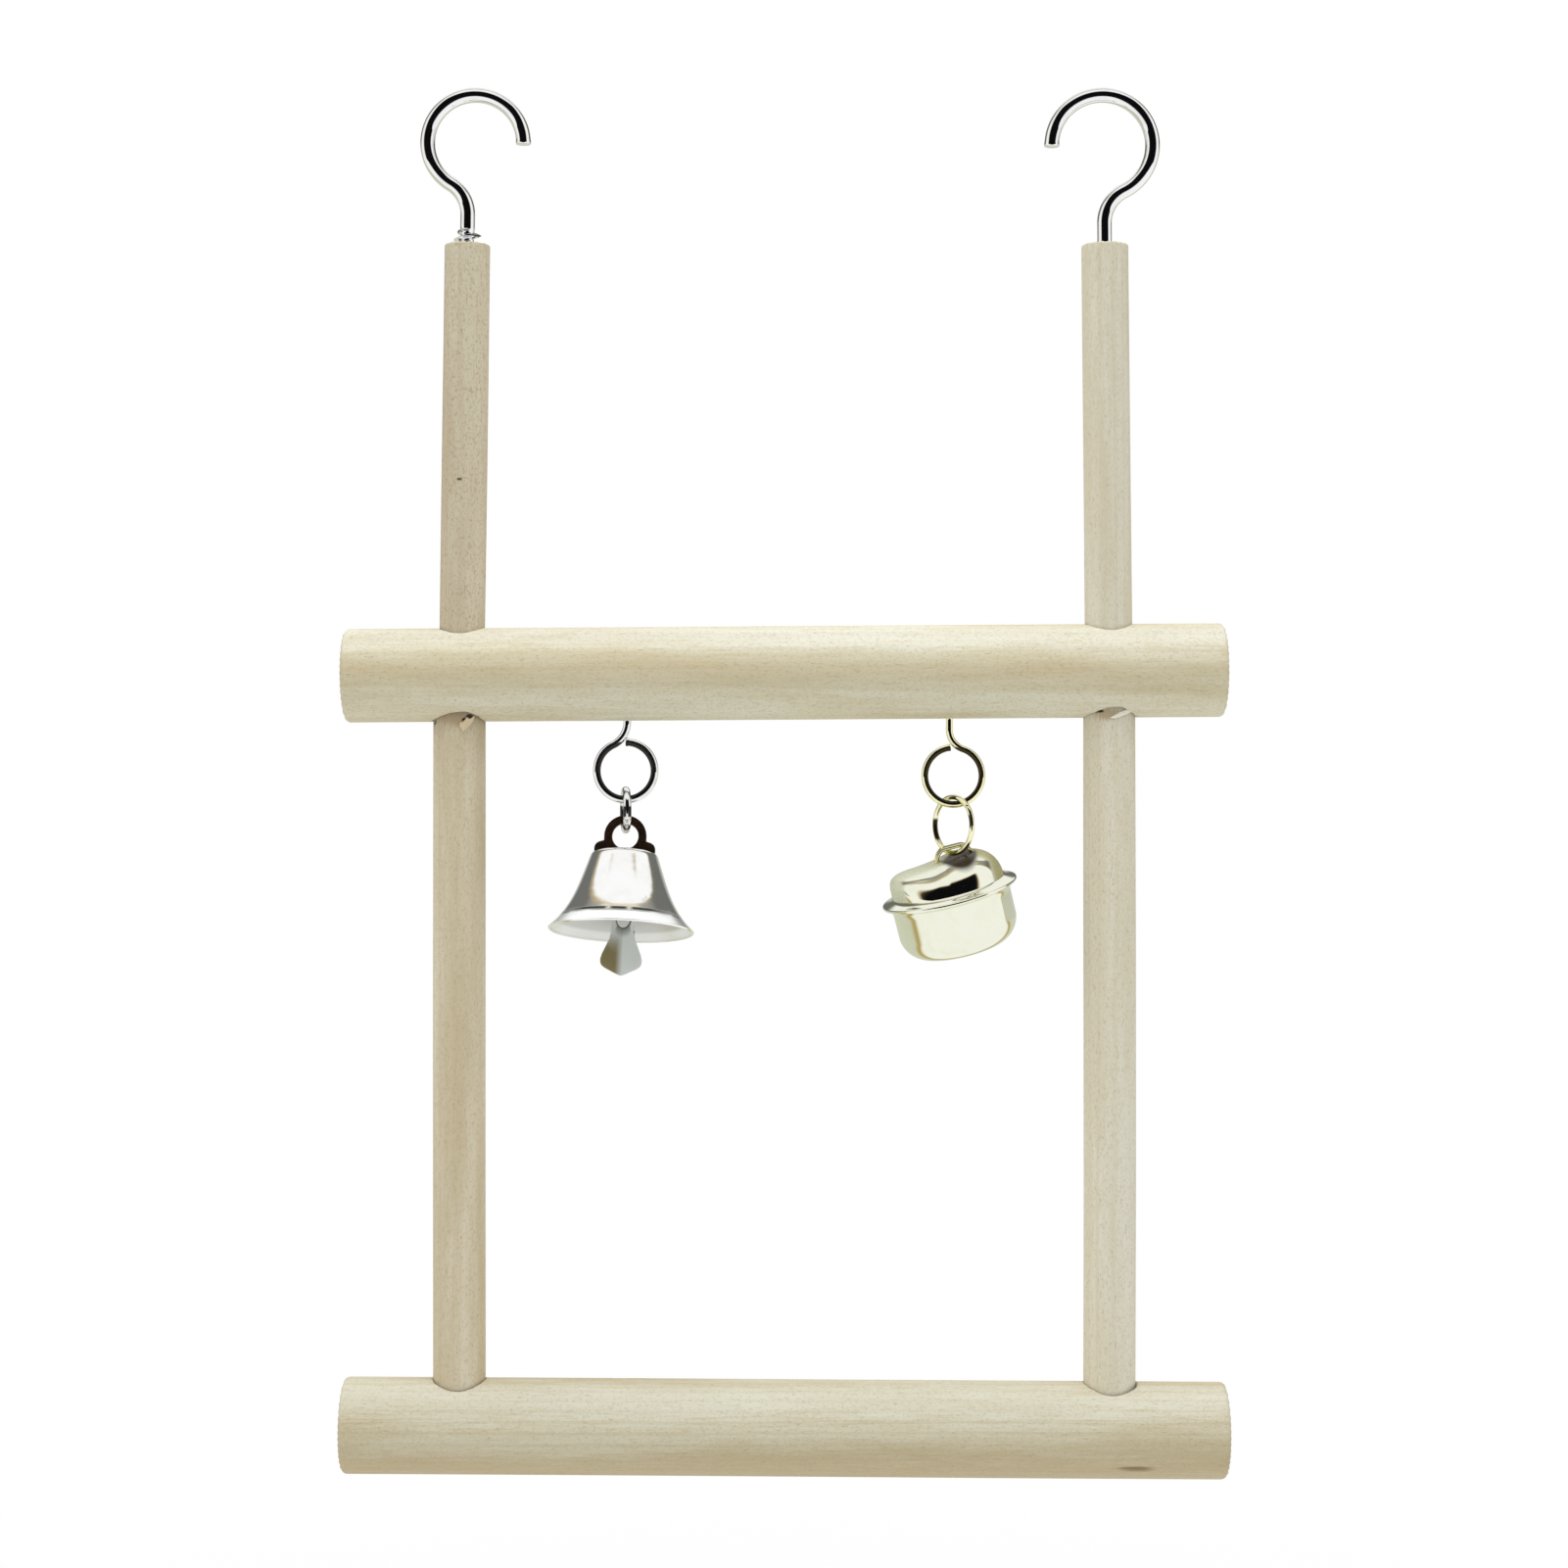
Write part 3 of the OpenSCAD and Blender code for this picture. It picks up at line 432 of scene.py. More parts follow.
# %% Dark plate material
def dark_plate_finish():
    """Chemically darkened plate: a brown-black coat that is rubbed through to brown metal."""
    n = Nodes(bpy.data.materials.new("darkened_plate"))
    coords = n.place()
    cloud = n.noise(coords, 420, detail=4.0, roughness=0.65)
    grit = n.noise(coords, 3800)
    tint = n.mix(n.span(cloud, 0.35, 0.70), (0.022, 0.012, 0.007), (0.075, 0.034, 0.016))
    tint = n.mix(n.span(grit, 0.62, 0.78, 0.0, 0.5), tint, (0.22, 0.13, 0.07))
    return n.surface(Base_Color=tint, Metallic=0.65, Normal=n.bump(grit, 0.3, 0.00006),
                     Roughness=n.span(grit, 0.3, 0.8, 0.34, 0.55))


dark_plate = dark_plate_finish()
print("darkened_plate: brown-black with grit")

# %% [markdown]
# ## Dowels
# A dowel is a cylinder whose ends were rounded by sanding. Its surface is not perfect: the
# planer leaves it slightly out of round, and fibres stand up in fine ridges along it. Where
# another dowel enters, the drilled edge is broken and a fine dark gap shows. The grid has extra
# rings there, so that the gap is real relief and catches its own shadow. A mark on the mesh also
# paints shade into the gap, into small pits and onto a rod or post where it goes into a perch.

# %% Dowel surface
def circle(count):
    """Even steps of the angle, once round."""
    return np.linspace(0, 2 * np.pi, count, endpoint=False)


def unit(values):
    """Values held between 0 and 1."""
    return np.clip(values, 0, 1)


def xyz(x, y, z):
    """Points from coordinates that are spread to one shape."""
    return np.stack(np.broadcast_arrays(x, y, z), -1)


def closed_waves(seed, angle, z, count, lowest, highest, drift):
    """Cosines of whole multiples of the angle, so that they close, whose phase drifts along z."""
    dice = np.random.default_rng(seed)
    total = 0.0
    for _ in range(count):
        k, slant = dice.integers(lowest, highest), dice.uniform(-drift, drift)
        total = total + np.cos(k * angle + slant * z + dice.uniform(0, 2 * np.pi))
    return total / np.sqrt(count)


def ridges(seed, angle, z):
    """Raised fibres: 14 to 60 waves round the dowel, a few hundredths of a millimetre high."""
    return 0.018 * closed_waves(seed, angle, z, 22, 14, 60, 0.05)


def swell(seed, angle, z):
    """Slow out-of-round: one to three waves round the dowel."""
    return 0.05 * closed_waves(seed + 99, angle, z, 7, 1, 4, 0.06)


def broken_edge(x, y, hole_r, width, tears):
    """1 in the gap beside a drilled hole, 0 outside. Its width grows by a bell curve of the
    bearing at each tear, where tears are (bearing, spread, extra width)."""
    bearing = np.degrees(np.arctan2(y, x))
    around = np.radians(bearing)
    reach = width * (1 + 0.35 * np.cos(7 * around) * np.cos(3.3 * around + 1))
    for at, spread, extra in tears:
        off = (bearing - at + 180) % 360 - 180
        reach = reach + extra * np.exp(-np.square(off / spread))
    return unit((reach - (np.hypot(x, y) - hole_r)) / 0.10)


def around_angles(holes):
    """Even steps round the dowel, with finer steps over its drilled top and bottom."""
    if not holes:
        return circle(180)
    fine = np.arange(-42, 42, 0.85)
    coarse = np.arange(42.5, 137.5, 2.6)
    return np.radians(np.concatenate([fine, coarse, fine + 180, coarse + 180]))


def in_hole(angle, z, radius, necks):
    """Shade where a dowel goes into a perch. The hole's edge stands at axis +- sqrt(R^2 - y^2).
    necks are (axis height, perch radius, side, strength, spread): full shade beyond the edge,
    fading over the spread before it."""
    shade = 0.0
    for axis, perch_r, side, strength, spread in necks:
        edge = axis - side * np.sqrt(perch_r ** 2 - np.square(radius * np.sin(angle)))
        before = np.clip((edge - z) * side, 0, None)
        shade = np.maximum(shade, strength * np.exp(-before / spread))
    return shade


def pitted(angle, z, radius, pits):
    """Painted shade, 0..1, in small holes, given as (sideways, height, half width, half height)
    seen in front.
    """
    pit = 0.0
    for x, up, wide, tall in pits:
        far = np.hypot((radius * np.cos(angle) - x) / wide, (z - up) / tall)
        pit = np.maximum(pit, unit((1.4 - far) / 0.35) * (np.sin(angle) < 0))
    return pit


def dowel(name, radius, length, where, edge, seed, holes=(), flat=0.0, necks=(), pits=()):
    """Rings of radius R - edge + edge * sin and offset edge * (1 - cos) at the rounded ends, R
    along the side, plus ridges. holes are (place along, side, dowel radius, gap width, gap depth,
    tears). flat is half the angle, in degrees, over which the upper front is planed flat."""
    angle = around_angles(holes)
    face = np.linspace(0.08, 1, 14)[:-1] * (radius - edge)
    bend = np.linspace(0, 90, 8)
    side = np.arange(edge, length - edge, 1.7)[1:]
    for place, _, hole_r, *_ in holes:
        side = np.concatenate([side, np.arange(place - hole_r - 0.9, place + hole_r + 0.9, 0.16)])
    for axis, perch_r, way, *_ in necks:
        side = np.concatenate([side, np.arange(-0.6, 4.5, 0.14) * way + axis - way * perch_r])
    side = np.unique(np.round(side[(side > edge) & (side < length - edge)], 3))
    rise = np.concatenate([np.zeros(len(face)), edge * (1 - np.cos(np.radians(bend)))])
    girth = np.concatenate([face, radius - edge + edge * np.sin(np.radians(bend))])
    z = np.concatenate([rise, side, length - rise[::-1]])[:, None]
    r = np.concatenate([girth, np.full(len(side), radius), girth[::-1]])[:, None]
    share = r / radius
    r = r + (ridges(seed, angle, z) + swell(seed, angle, z)) * share
    if flat:
        facing = np.maximum(np.cos(angle - np.radians(-135)), 0.3)
        planed = radius * np.cos(np.radians(flat)) / facing
        r = np.where((facing > 0.5) & (share > 0.9), np.minimum(r, planed), r)
    saw = 0.05 * np.sin(r * np.cos(angle) * 6.1 + 0.6 * np.sin(r * np.sin(angle) * 0.9))
    saw = saw * (share < 0.97) * np.where(z < length / 2, 1, -1)
    x, y = r * np.cos(angle), r * np.sin(angle)
    # mark is painted shade: in pits, in a hole past its edge, just before it, and in the gap
    # beside a hole.
    mark = np.zeros_like(x)
    if necks:
        pit = pitted(angle, z, radius, pits)
        x, y = x * (1 - 0.16 * pit), y * (1 - 0.16 * pit)
        mark = np.maximum(in_hole(angle, z, radius, necks), pit)
    for place, way, hole_r, width, depth, tears in holes:
        gap = broken_edge(z - place, y, hole_r, width, tears) * (x * way > 0) * (share > 0.99)
        x = x - way * depth * gap
        mark = np.maximum(mark, 0.55 * gap)
    marks = {"sawn_end": unit((1 - share) * 9) + 0 * x, "painted_hole_shade": mark}
    return skin(name, xyz(x, y, z + saw), [(0, 0, 0), (0, 0, length)], marks, where)


print("a plain dowel has", len(around_angles(())), "points round it")

# %% [markdown]
# The perches lie along X. A dowel is drawn along its own Z, so a quarter turn lays it down: its
# own +X then looks down and its own -X looks up.

# %% Perches
TOP_R, BOTTOM_R = 7.5, 7.65
PALE, WARM, TAN = (0.82, 0.77, 0.605), (0.705, 0.613, 0.408), (0.65, 0.535, 0.333)
LOW_PALE, LOW_WARM = (0.73, 0.673, 0.515), (0.632, 0.538, 0.352)
top_length, bottom_length = 141.05, 141.65
top_start, bottom_start = -71.25, -71.55
top_lay = shift(top_start, 0, top_axis_z(top_start)) @ turn("y", 90 - TOP_SLOPE)
bottom_lay = shift(bottom_start, 0, bottom_axis_z(bottom_start)) @ turn("y", 90 + BOTTOM_SLOPE)
left_rod_x, right_rod_x = -52.60, 51.43
# On the top perch the first spot is a painted highlight, a pale band along its upper front where
# the overhead light falls, and the second is painted shade, a tan band along the middle of its
# front.
top_wood = raw_wood(
    "perch_wood_top", "x", (0.004, -0.083), 3.0, PALE, WARM, 0.35, 0.40,
    [((0.0, -0.0060, -0.0848), (0.300, 0.0060, 0.0052), (0.85, 0.825, 0.73), 0.60),
     ((-0.020, -0.0076, -0.0914), (0.150, 0.010, 0.0034), TAN, 0.60)])
# On the bottom perch the first spot is a painted highlight along its upper front, and the second
# is painted shade, a brown band low on its front and underside.
bottom_wood = raw_wood(
    "perch_wood_bottom", "x", (-0.012, -0.222), 11.0, LOW_PALE, LOW_WARM, 0.30, 0.32,
    [((0.0, -0.0060, -0.2075), (0.300, 0.0060, 0.0045), (0.81, 0.785, 0.67), 0.5),
     ((0.010, -0.0060, -0.2207), (0.170, 0.012, 0.0080), (0.58, 0.46, 0.27), 0.80),
     ((0.0550, -0.0062, -0.2184), (0.0040, 0.004, 0.0006), (0.24, 0.15, 0.07), 0.85)])
left_tears = [(-157, 7, 0.12), (-58, 22, 0.45)]
right_tears = [(-72, 26, 0.35)]
LEFT_ROD_R, RIGHT_ROD_R, POST_R = 3.65, 3.80, 4.175
top_holes = [(left_rod_x - top_start, -1, LEFT_ROD_R, 0.10, 0.5, ()),
             (right_rod_x - top_start, -1, RIGHT_ROD_R, 0.08, 0.5, ()),
             (LEFT_POST_X - top_start, 1, POST_R, 0.14, 1.3, left_tears),
             (RIGHT_POST_X - top_start, 1, POST_R, 0.12, 1.3, right_tears)]
bottom_holes = [(LEFT_POST_X - bottom_start, -1, POST_R, 0.10, 0.7, [(-150, 20, 0.10)]),
                (RIGHT_POST_X - bottom_start, -1, POST_R, 0.10, 0.9, [(-31, 22, 0.30)])]
settle(dowel("top_perch_wood", TOP_R, top_length, top_lay, 0.8, 5, top_holes, 12),
       "frame", "perch_wood", top_wood, "top_perch")
settle(dowel("bottom_perch_wood", BOTTOM_R, bottom_length, bottom_lay, 0.8, 8, bottom_holes),
       "frame", "perch_wood", bottom_wood, "bottom_perch")

# %% Rods and posts
def upright(node, radius, length, where, seed, pith, tones, speckle, mottle, necks, pits, spots):
    """A rod or post: its wood, its dowel and the CAD node that it stands for."""
    wood = raw_wood(node + "_wood", "z", pith, seed * 0.31, *tones, speckle, mottle, spots)
    piece = dowel(node + "_dowel", radius, length, where, 0.3, seed, necks=necks, pits=pits)
    settle(piece, "frame", "rod_wood", wood, node)


left_rod_top, right_rod_top, SOCKET = 22.93, 22.94, 5.5
left_rod_foot = -top_axis_z(left_rod_x) - 2.0
right_rod_foot = -top_axis_z(right_rod_x) - 2.0
pinhole = ((-0.0526, -0.0036, -0.0609), (0.0006, 0.002, 0.0004), (0.05, 0.02, 0.01), 1.0)
upright("left_rod", LEFT_ROD_R, left_rod_foot - left_rod_top,
        LEFT_HANGER @ shift(0, 0, -left_rod_foot), 21, (-0.0555, 0.003),
        ((0.698, 0.618, 0.465), (0.602, 0.502, 0.350)), 0.60, 0.75,
        [(-2.0, TOP_R, -1, 0.30, 0.25)], [], [pinhole])
upright("right_rod", RIGHT_ROD_R, right_rod_foot - right_rod_top,
        RIGHT_HANGER @ shift(0, 0, -right_rod_foot), 34, (0.0595, 0.004),
        ((0.795, 0.745, 0.607), (0.73, 0.66, 0.498)), 0.35, 0.35,
        [(-2.0, TOP_R, -1, 0.25, 0.25)], [], [])
# Each post's last entry is painted shade: a brown patch on the post's neck, where it goes into the
# top perch.
for x, node, seed, pith, tones, shade, pits, stain_and_painted_light in (
        (LEFT_POST_X, "left_post", 47, (-0.0565, 0.006),
         ((0.768, 0.686, 0.520), (0.673, 0.566, 0.383)), (0.42, 0.95),
         [(-3.80, -99.60, 0.26, 0.36), (2.20, -98.80, 0.50, 0.34), (1.22, -99.28, 0.26, 0.20)],
         ((-0.0534, -0.0041, -0.0991), (0.0040, 0.0025, 0.0016), (0.50, 0.35, 0.19), 0.75)),
        (RIGHT_POST_X, "right_post", 58, (0.0460, 0.005),
         ((0.85, 0.80, 0.670), (0.78, 0.712, 0.548)), (0.26, 0.60), [(-2.00, -97.92, 0.45, 0.16)],
         ((0.0508, -0.0041, -0.0984), (0.0034, 0.0025, 0.0013), (0.50, 0.37, 0.20), 0.85))):
    foot = bottom_axis_z(x) + BOTTOM_R - SOCKET
    length = top_axis_z(x) - TOP_R + SOCKET - foot
    necks = [(-2.15, BOTTOM_R, -1, 0.45, 0.30), (length + 2.0, TOP_R, 1, *shade)]
    pits = [(px, pz - foot, w, h) for px, pz, w, h in pits]
    upright(node, POST_R, length, shift(x, 0, foot), seed, pith, tones, 0.4, 0.45, necks, pits,
            [stain_and_painted_light])

# %% [markdown]
# ## Bent wire
# Hooks, eyes, the link and the rings are all round wire that follows a path in one plane. At
# each point of the path stands a circle, square to the path's direction. Because the path stays
# in its plane, the plane's normal is one of the circle's two axes everywhere, and the wire never
# twists. A screw's thread is the same wire with a radius that also depends on the angle.

# %% Wire along a path
def path_axes(path, closed=False):
    """Unit tangents of a path in the XZ plane, the plane's normal and the side square to both."""
    if closed:
        tangent = np.roll(path, -1, 0) - np.roll(path, 1, 0)
    else:
        tangent = np.gradient(path, axis=0)
    tangent = tangent / np.linalg.norm(tangent, axis=1, keepdims=True)
    normal = np.array([0.0, 1.0, 0.0])
    return tangent, normal, np.cross(normal, tangent)


def wire(name, path, radius, where, closed=False, sides=48, marks=None):
    """Points are path + r * (cos(a) * side + sin(a) * normal), with side = normal x tangent.
    Open ends get a small chamfer and a flat cap, closed on a pole. marks are functions of the
    points, which stay on the mesh."""
    tip = 0.12
    radius = np.atleast_1d(radius)
    radius = np.broadcast_to(radius if radius.ndim == 2 else radius[:, None], (len(path), sides))
    tangent, normal, side = path_axes(path, closed)
    a = circle(sides)
    spoke = np.cos(a)[None, :, None] * side[:, None] + np.sin(a)[None, :, None] * normal
    rows = path[:, None] + radius[..., None] * spoke
    poles = None
    if not closed:
        caps = [[path[i] + way * tangent[i] * tip * out + radius[i][:, None] * share * spoke[i]
                 for share, out in ((0.55, 1.0), (0.86, 0.97), (0.97, 0.60))]
                for i, way in ((0, -1), (-1, 1))]
        rows = np.concatenate([caps[0], rows, caps[1][::-1]])
        poles = [path[0] - tangent[0] * tip, path[-1] + tangent[-1] * tip]
    return skin(name, rows, poles, {key: f(rows) for key, f in (marks or {}).items()}, where)


def arc(centre, radius, start, stop, step=1.6):
    """Points of an arc in the XZ plane, angles in degrees from +X towards +Z."""
    a = np.radians(np.linspace(start, stop, max(3, int(abs(stop - start) / step))))
    return xyz(centre[0] + radius * np.cos(a), 0, centre[1] + radius * np.sin(a))


def bent_path(r, b, s, show, sweep):
    """Shank up to show, then a bend of radius b to the left, then a loop of radius r whose
    middle stands s right of the shank. The two arcs touch where their centres line up."""
    rise = np.sqrt((r + b) ** 2 - (b + s) ** 2)
    join = np.degrees(np.arctan2(rise, b + s))
    bend = arc((-b, show), b, 0, join)
    loop = arc((s, show + rise), r, 180 + join, 180 + join - sweep)
    return np.concatenate([bend, loop[1:]]), join


def thread_radius(z, a, core, crest, pitch, tip):
    """Core plus a sharp crest where the turn's share z / pitch - a / 360 is near a half, drawn
    in to a point over the tip."""
    share = np.mod(z / pitch - a / (2 * np.pi), 1)
    ridge = unit(1 - np.abs(share - 0.5) / 0.30) ** 0.6
    return (core + (crest - core) * ridge) * np.minimum(1, 0.1 + 0.9 * z / tip)


TURN_STEPS = 22


def screw(name, r, b, s, show, sweep, d, thread, where, flare=1.0, coat_share=0.0):
    """Thread, shank, bend and loop in one wire. thread is (length under the wood, length shown,
    crest diameter, pitch), flare widens the last of the loop where it was cut, and the last
    argument is how strongly the loop's inner side is painted dark, as a painted dark reflection.
    The last turn of the shown thread is painted dark too, as a painted dark reflection."""
    under, above, crest, pitch = thread
    z = np.arange(0, under + above, pitch / TURN_STEPS)
    a = circle(48)
    grooves = thread_radius(z[:, None], a, d / 2 * 0.9, crest / 2, pitch, 2 * pitch)
    fade = unit((under + above - z[:, None]) / (0.4 * pitch))
    grooves = d / 2 + (grooves - d / 2) * fade
    shank = np.linspace(above + 0.02, show, 12)
    straight = xyz(0, 0, np.concatenate([z - under, shank]))
    path = np.concatenate([straight, bent_path(r, b, s, show, sweep)[0][1:]])
    radius = np.full((len(path), 48), d / 2)
    radius[:len(z)] = grooves
    radius[-3:] *= flare
    middle_z = show + np.sqrt((r + b) ** 2 - (b + s) ** 2)

    # Painted dark reflections: the shown thread's last turn, and the loop's inner side as strongly
    # as the last argument says.
    def painted_dark_reflection(rows):
        x, y, z = rows[..., 0], rows[..., 1], rows[..., 2]
        ridge = unit((np.hypot(x, y) - d / 2 * 1.1) / 0.2) * (z > 1.2) * (z < above + 0.3)
        inner = unit((r + 0.12 * d - np.hypot(x - s, z - middle_z)) / (0.14 * d))
        return np.maximum(ridge, inner * coat_share * (z > show))

    return wire(name, path, radius, where, marks={"painted_dark_reflection": painted_dark_reflection})


print("one turn of a thread has", TURN_STEPS, "rings")

# %% Hooks and eyes
HOOK_D, HOOK_BEND, HOOK_THREAD, HOOK_CREST, HOOK_PITCH = 2.35, 5.8, 10.5, 4.5, 1.6
for side, r, s, show, above, where in (
        ("left", 7.7, LEFT_OFFSET, 4.8, 2.5, LEFT_HANGER @ shift(0, 0, -left_rod_top)),
        ("right", 8.1, RIGHT_OFFSET, 3.5, 0.3, RIGHT_HANGER @ shift(0, 0, -right_rod_top))):
    sweep = 180 + bent_path(r, HOOK_BEND, s, show, 90)[1]
    hook = screw(side + "_hook_wire", r, HOOK_BEND, s, show, sweep, HOOK_D,
                 (HOOK_THREAD, above, HOOK_CREST, HOOK_PITCH), where, flare=1.03)
    settle(hook, "frame", "bright_plating", chrome_wire, side + "_screw_hook")
EYE_THREAD = (8.5, 0.0, 2.1, 1.0)
DOWN = np.diag([1.0, 1.0, -1.0, 1.0])
for metal, x, r, b, s, show, sweep, d, flare, way, slot, finish in (
        ("silver", -26.0, 4.65, 3.95, -0.25, 0.3, 333, 1.25, 1.12, DOWN,
         "bright_plating", chrome_wire),
        ("brass", 25.8, 4.6, 3.15, -0.65, 1.9, 334, 1.1, 1.06, FLIP @ DOWN,
         "brass_wire", brass_wire)):
    under_perch = shift(x, 0, top_axis_z(x) - TOP_R) @ way
    # The 1.0 paints each eye's inner side dark: a painted reflection of the perch's shaded
    # underside.
    eye = screw(metal + "_eye_wire", r, b, s, show, sweep, d, EYE_THREAD, under_perch, flare, 1.0)
    settle(eye, "frame", slot, finish, metal + "_eye_screw")

# %% [markdown]
# The link and the ring were wound from wire and cut, so each has a butt joint: a fine groove
# where the two ends meet. A bell curve taken off the wire's radius makes it.

# %% Link and ring
def ring(name, r, d, where, joint_at, marks):
    """A closed circle of wire whose radius dips by a fifth in a fine groove at one angle."""
    a = np.linspace(0, 360, 300, endpoint=False)
    away = (a - joint_at + 180) % 360 - 180
    radius = d / 2 * (1 - 0.22 * np.exp(-np.square(away * np.radians(1) * r / 0.07)))
    path = xyz(r * np.cos(np.radians(a)), 0, r * np.sin(np.radians(a)))
    return wire(name, path, radius, where, closed=True, sides=40, marks=marks)


def between(value, low, high, soft):
    """1 between low and high, falling to 0 over soft on either side."""
    return unit((value - low) / soft) * unit((high - value) / soft)


def link_streaks(rows):
    """Two painted dark reflections down the link's edge, with a bright line between them."""
    y, z = rows[..., 1], rows[..., 2]
    return between(z, -1.2, 0.8, 0.25) * unit((np.abs(y - 0.08) - 0.10) / 0.08)


def ring_streaks(rows):
    """Painted dark reflections on the ring's inner side: a stretch on the left and a shorter one
    on the right.
    """
    x, z = rows[..., 0], rows[..., 2]
    inner = unit((np.where(x > 0, 4.62, 4.75) - np.hypot(x, z)) / 0.12)
    return inner * np.where(x > 0, between(z, -2.6, 1.2, 0.4), between(z, -0.6, 1.9, 0.4))


NICKEL_X, LINK_Z, BELL_Z = -26.25, -113.77, -116.92
BRASS_X, RING_Z, JINGLE_Z = 26.45, -116.181, -120.681
LINK_WIRE_R = 0.65
link = ring("silver_link_wire", 3.15, 2 * LINK_WIRE_R,
            shift(NICKEL_X, 0, LINK_Z) @ turn("z", 98), 205, {"painted_dark_reflection": link_streaks})
settle(link, "link", "bright_plating", chrome_wire, "silver_link")
loop = ring("brass_ring_wire", 4.5, 0.85, shift(BRASS_X, 0, RING_Z) @ turn("z", 128), 140,
            {"painted_dark_reflection": ring_streaks})
settle(loop, "ring", "brass_wire", brass_wire, "brass_ring")

# %% [markdown]
# ## The nickel bell
# The cup was pressed and spun from thin sheet, so it is a profile turned round an axis: down the
# outside, round the bead of the lip, and up the inside. Both ends of the profile lie on the axis,
# where a fan closes the skin. The plate on its crown is flat: a ring of points round its hole
# faces a ring of points on its outline, and the skin goes over both faces and both edges.

# %% Turned sheet
ROUND = 192


def turned(name, profile, where, sides=ROUND, marks=None):
    """profile is (radius, height) from the outer pole to the inner pole. Each point goes round.
    marks are functions of the profile point's number and the bearing, which stay on the mesh."""
    a = circle(sides)
    r, z = np.array(profile, float).T[..., None]
    rows = xyz(r * np.cos(a), r * np.sin(a), z)[1:-1]
    number, bearing = np.broadcast_arrays(np.arange(1.0, len(r) - 1)[:, None], a)
    found = {key: f(number, bearing) for key, f in (marks or {}).items()}
    return skin(name, rows, [(0, 0, z[0, 0]), (0, 0, z[-1, 0])], found, where)


BELL = shift(NICKEL_X, 0, BELL_Z) @ turn("y", 2) @ turn("x", -12)
CROWN_Z, WALL_STEPS = -3.74, 129


def bell_profile():
    """Radius is 5.6 + 3.85 u + 2.2 u^4 at share u of the height under the rounded crown. The
    spinning tool leaves ripples of a few microns, which fade at both ends."""
    rim, flare, height, rounding, bead, wall, level = 11.65, 2.2, 12.6, 1.2, 0.27, 0.5, 4.33
    u = np.linspace(0, 1, WALL_STEPS + 1)
    r = 5.6 + (rim - 5.6 - flare) * u + flare * u ** 4
    r = r - 0.0012 * (1 + np.sin(u * 52 + 1.5 * np.sin(u * 9))) * np.sin(np.pi * u)
    z = CROWN_Z - rounding - u * (height - rounding)
    a = np.radians(np.linspace(90, 19, 14))
    around = [np.stack([level + k * np.cos(a), CROWN_Z - rounding + k * np.sin(a)], -1)
              for k in (rounding, rounding - wall)]
    flat = np.stack([np.linspace(0, level, 12)[:-1], np.full(11, CROWN_Z)], -1)
    lip_a = np.radians(np.linspace(10, 170, 9))
    lip = np.stack([rim - bead + bead * np.cos(-lip_a), z[-1] - bead * np.sin(lip_a)], -1)
    inside = np.stack([r - wall, z], -1)[::-1]
    under = np.stack([np.linspace(level, 0, 12)[1:], np.full(11, CROWN_Z - wall)], -1)
    line = [flat, around[0], np.stack([r, z], -1), lip, inside[1:], around[1][::-1], under]
    return np.concatenate(line), len(flat) + len(a)


cup_line, wall_start = bell_profile()
wall_end = wall_start + WALL_STEPS


def down_wall(number):
    """0 at the top of the outer wall, 1 at its lip."""
    return (number - wall_start) / WALL_STEPS


def unpolished(number, bearing):
    """1 on the inner side, where the sheet was never buffed."""
    return unit((number - wall_end - 5) / 3)


def rubbed(number, bearing):
    """1 on the last seventh of the wall, most in front: a painted highlight, a matt white band
    that stands for the rim's reflection.
    """
    u = down_wall(number)
    near_front = unit(1.35 * np.cos(bearing + np.pi / 2 + 0.08) - 0.25)
    return unit((u - 0.855) / 0.02) * (u <= 1.001) * near_front


def painted_reflection_line(number, bearing):
    """1 in a fine painted dark line, a painted reflection over the white rim band, darkest in
    front and broken in two places.
    """
    u = down_wall(number)
    off = (bearing - 0.5 * np.pi) % (2 * np.pi) - np.pi
    breaks = np.exp(-((np.abs(off) - 0.17) / 0.035) ** 2)
    near_front = np.clip(1.6 * np.cos(off + 0.04) - 0.35, 0.1, 1)
    return unit(1.9 - np.abs(u - 0.822) / 0.016) * near_front * (1 - breaks)


def painted_lip_highlight(number, bearing):
    """1 on the first millimetre inside the lip: a painted highlight that makes it as bright as the
    outside.
    """
    past = number - wall_end
    return unit((past - 6) / 3) * unit((24 - past) / 5)


bell = turned("bell_cup_sheet", cup_line, BELL, marks={
    "inner_side": unpolished, "painted_rim_highlight": rubbed, "painted_dark_line": painted_reflection_line,
    "painted_lip_highlight": painted_lip_highlight})
settle(bell, "bell", "nickel_sheet", spun_nickel, "bell_cup")

# %% Plate with a hole
def rays(shape, angles, far):
    """For each angle, the greatest distance from the middle that still lies in the shape."""
    rho = np.arange(0, far, 0.01)
    x, z = rho * np.cos(angles)[:, None], rho * np.sin(angles)[:, None]
    return np.max(np.where(shape(x, z), rho, 0), axis=1)


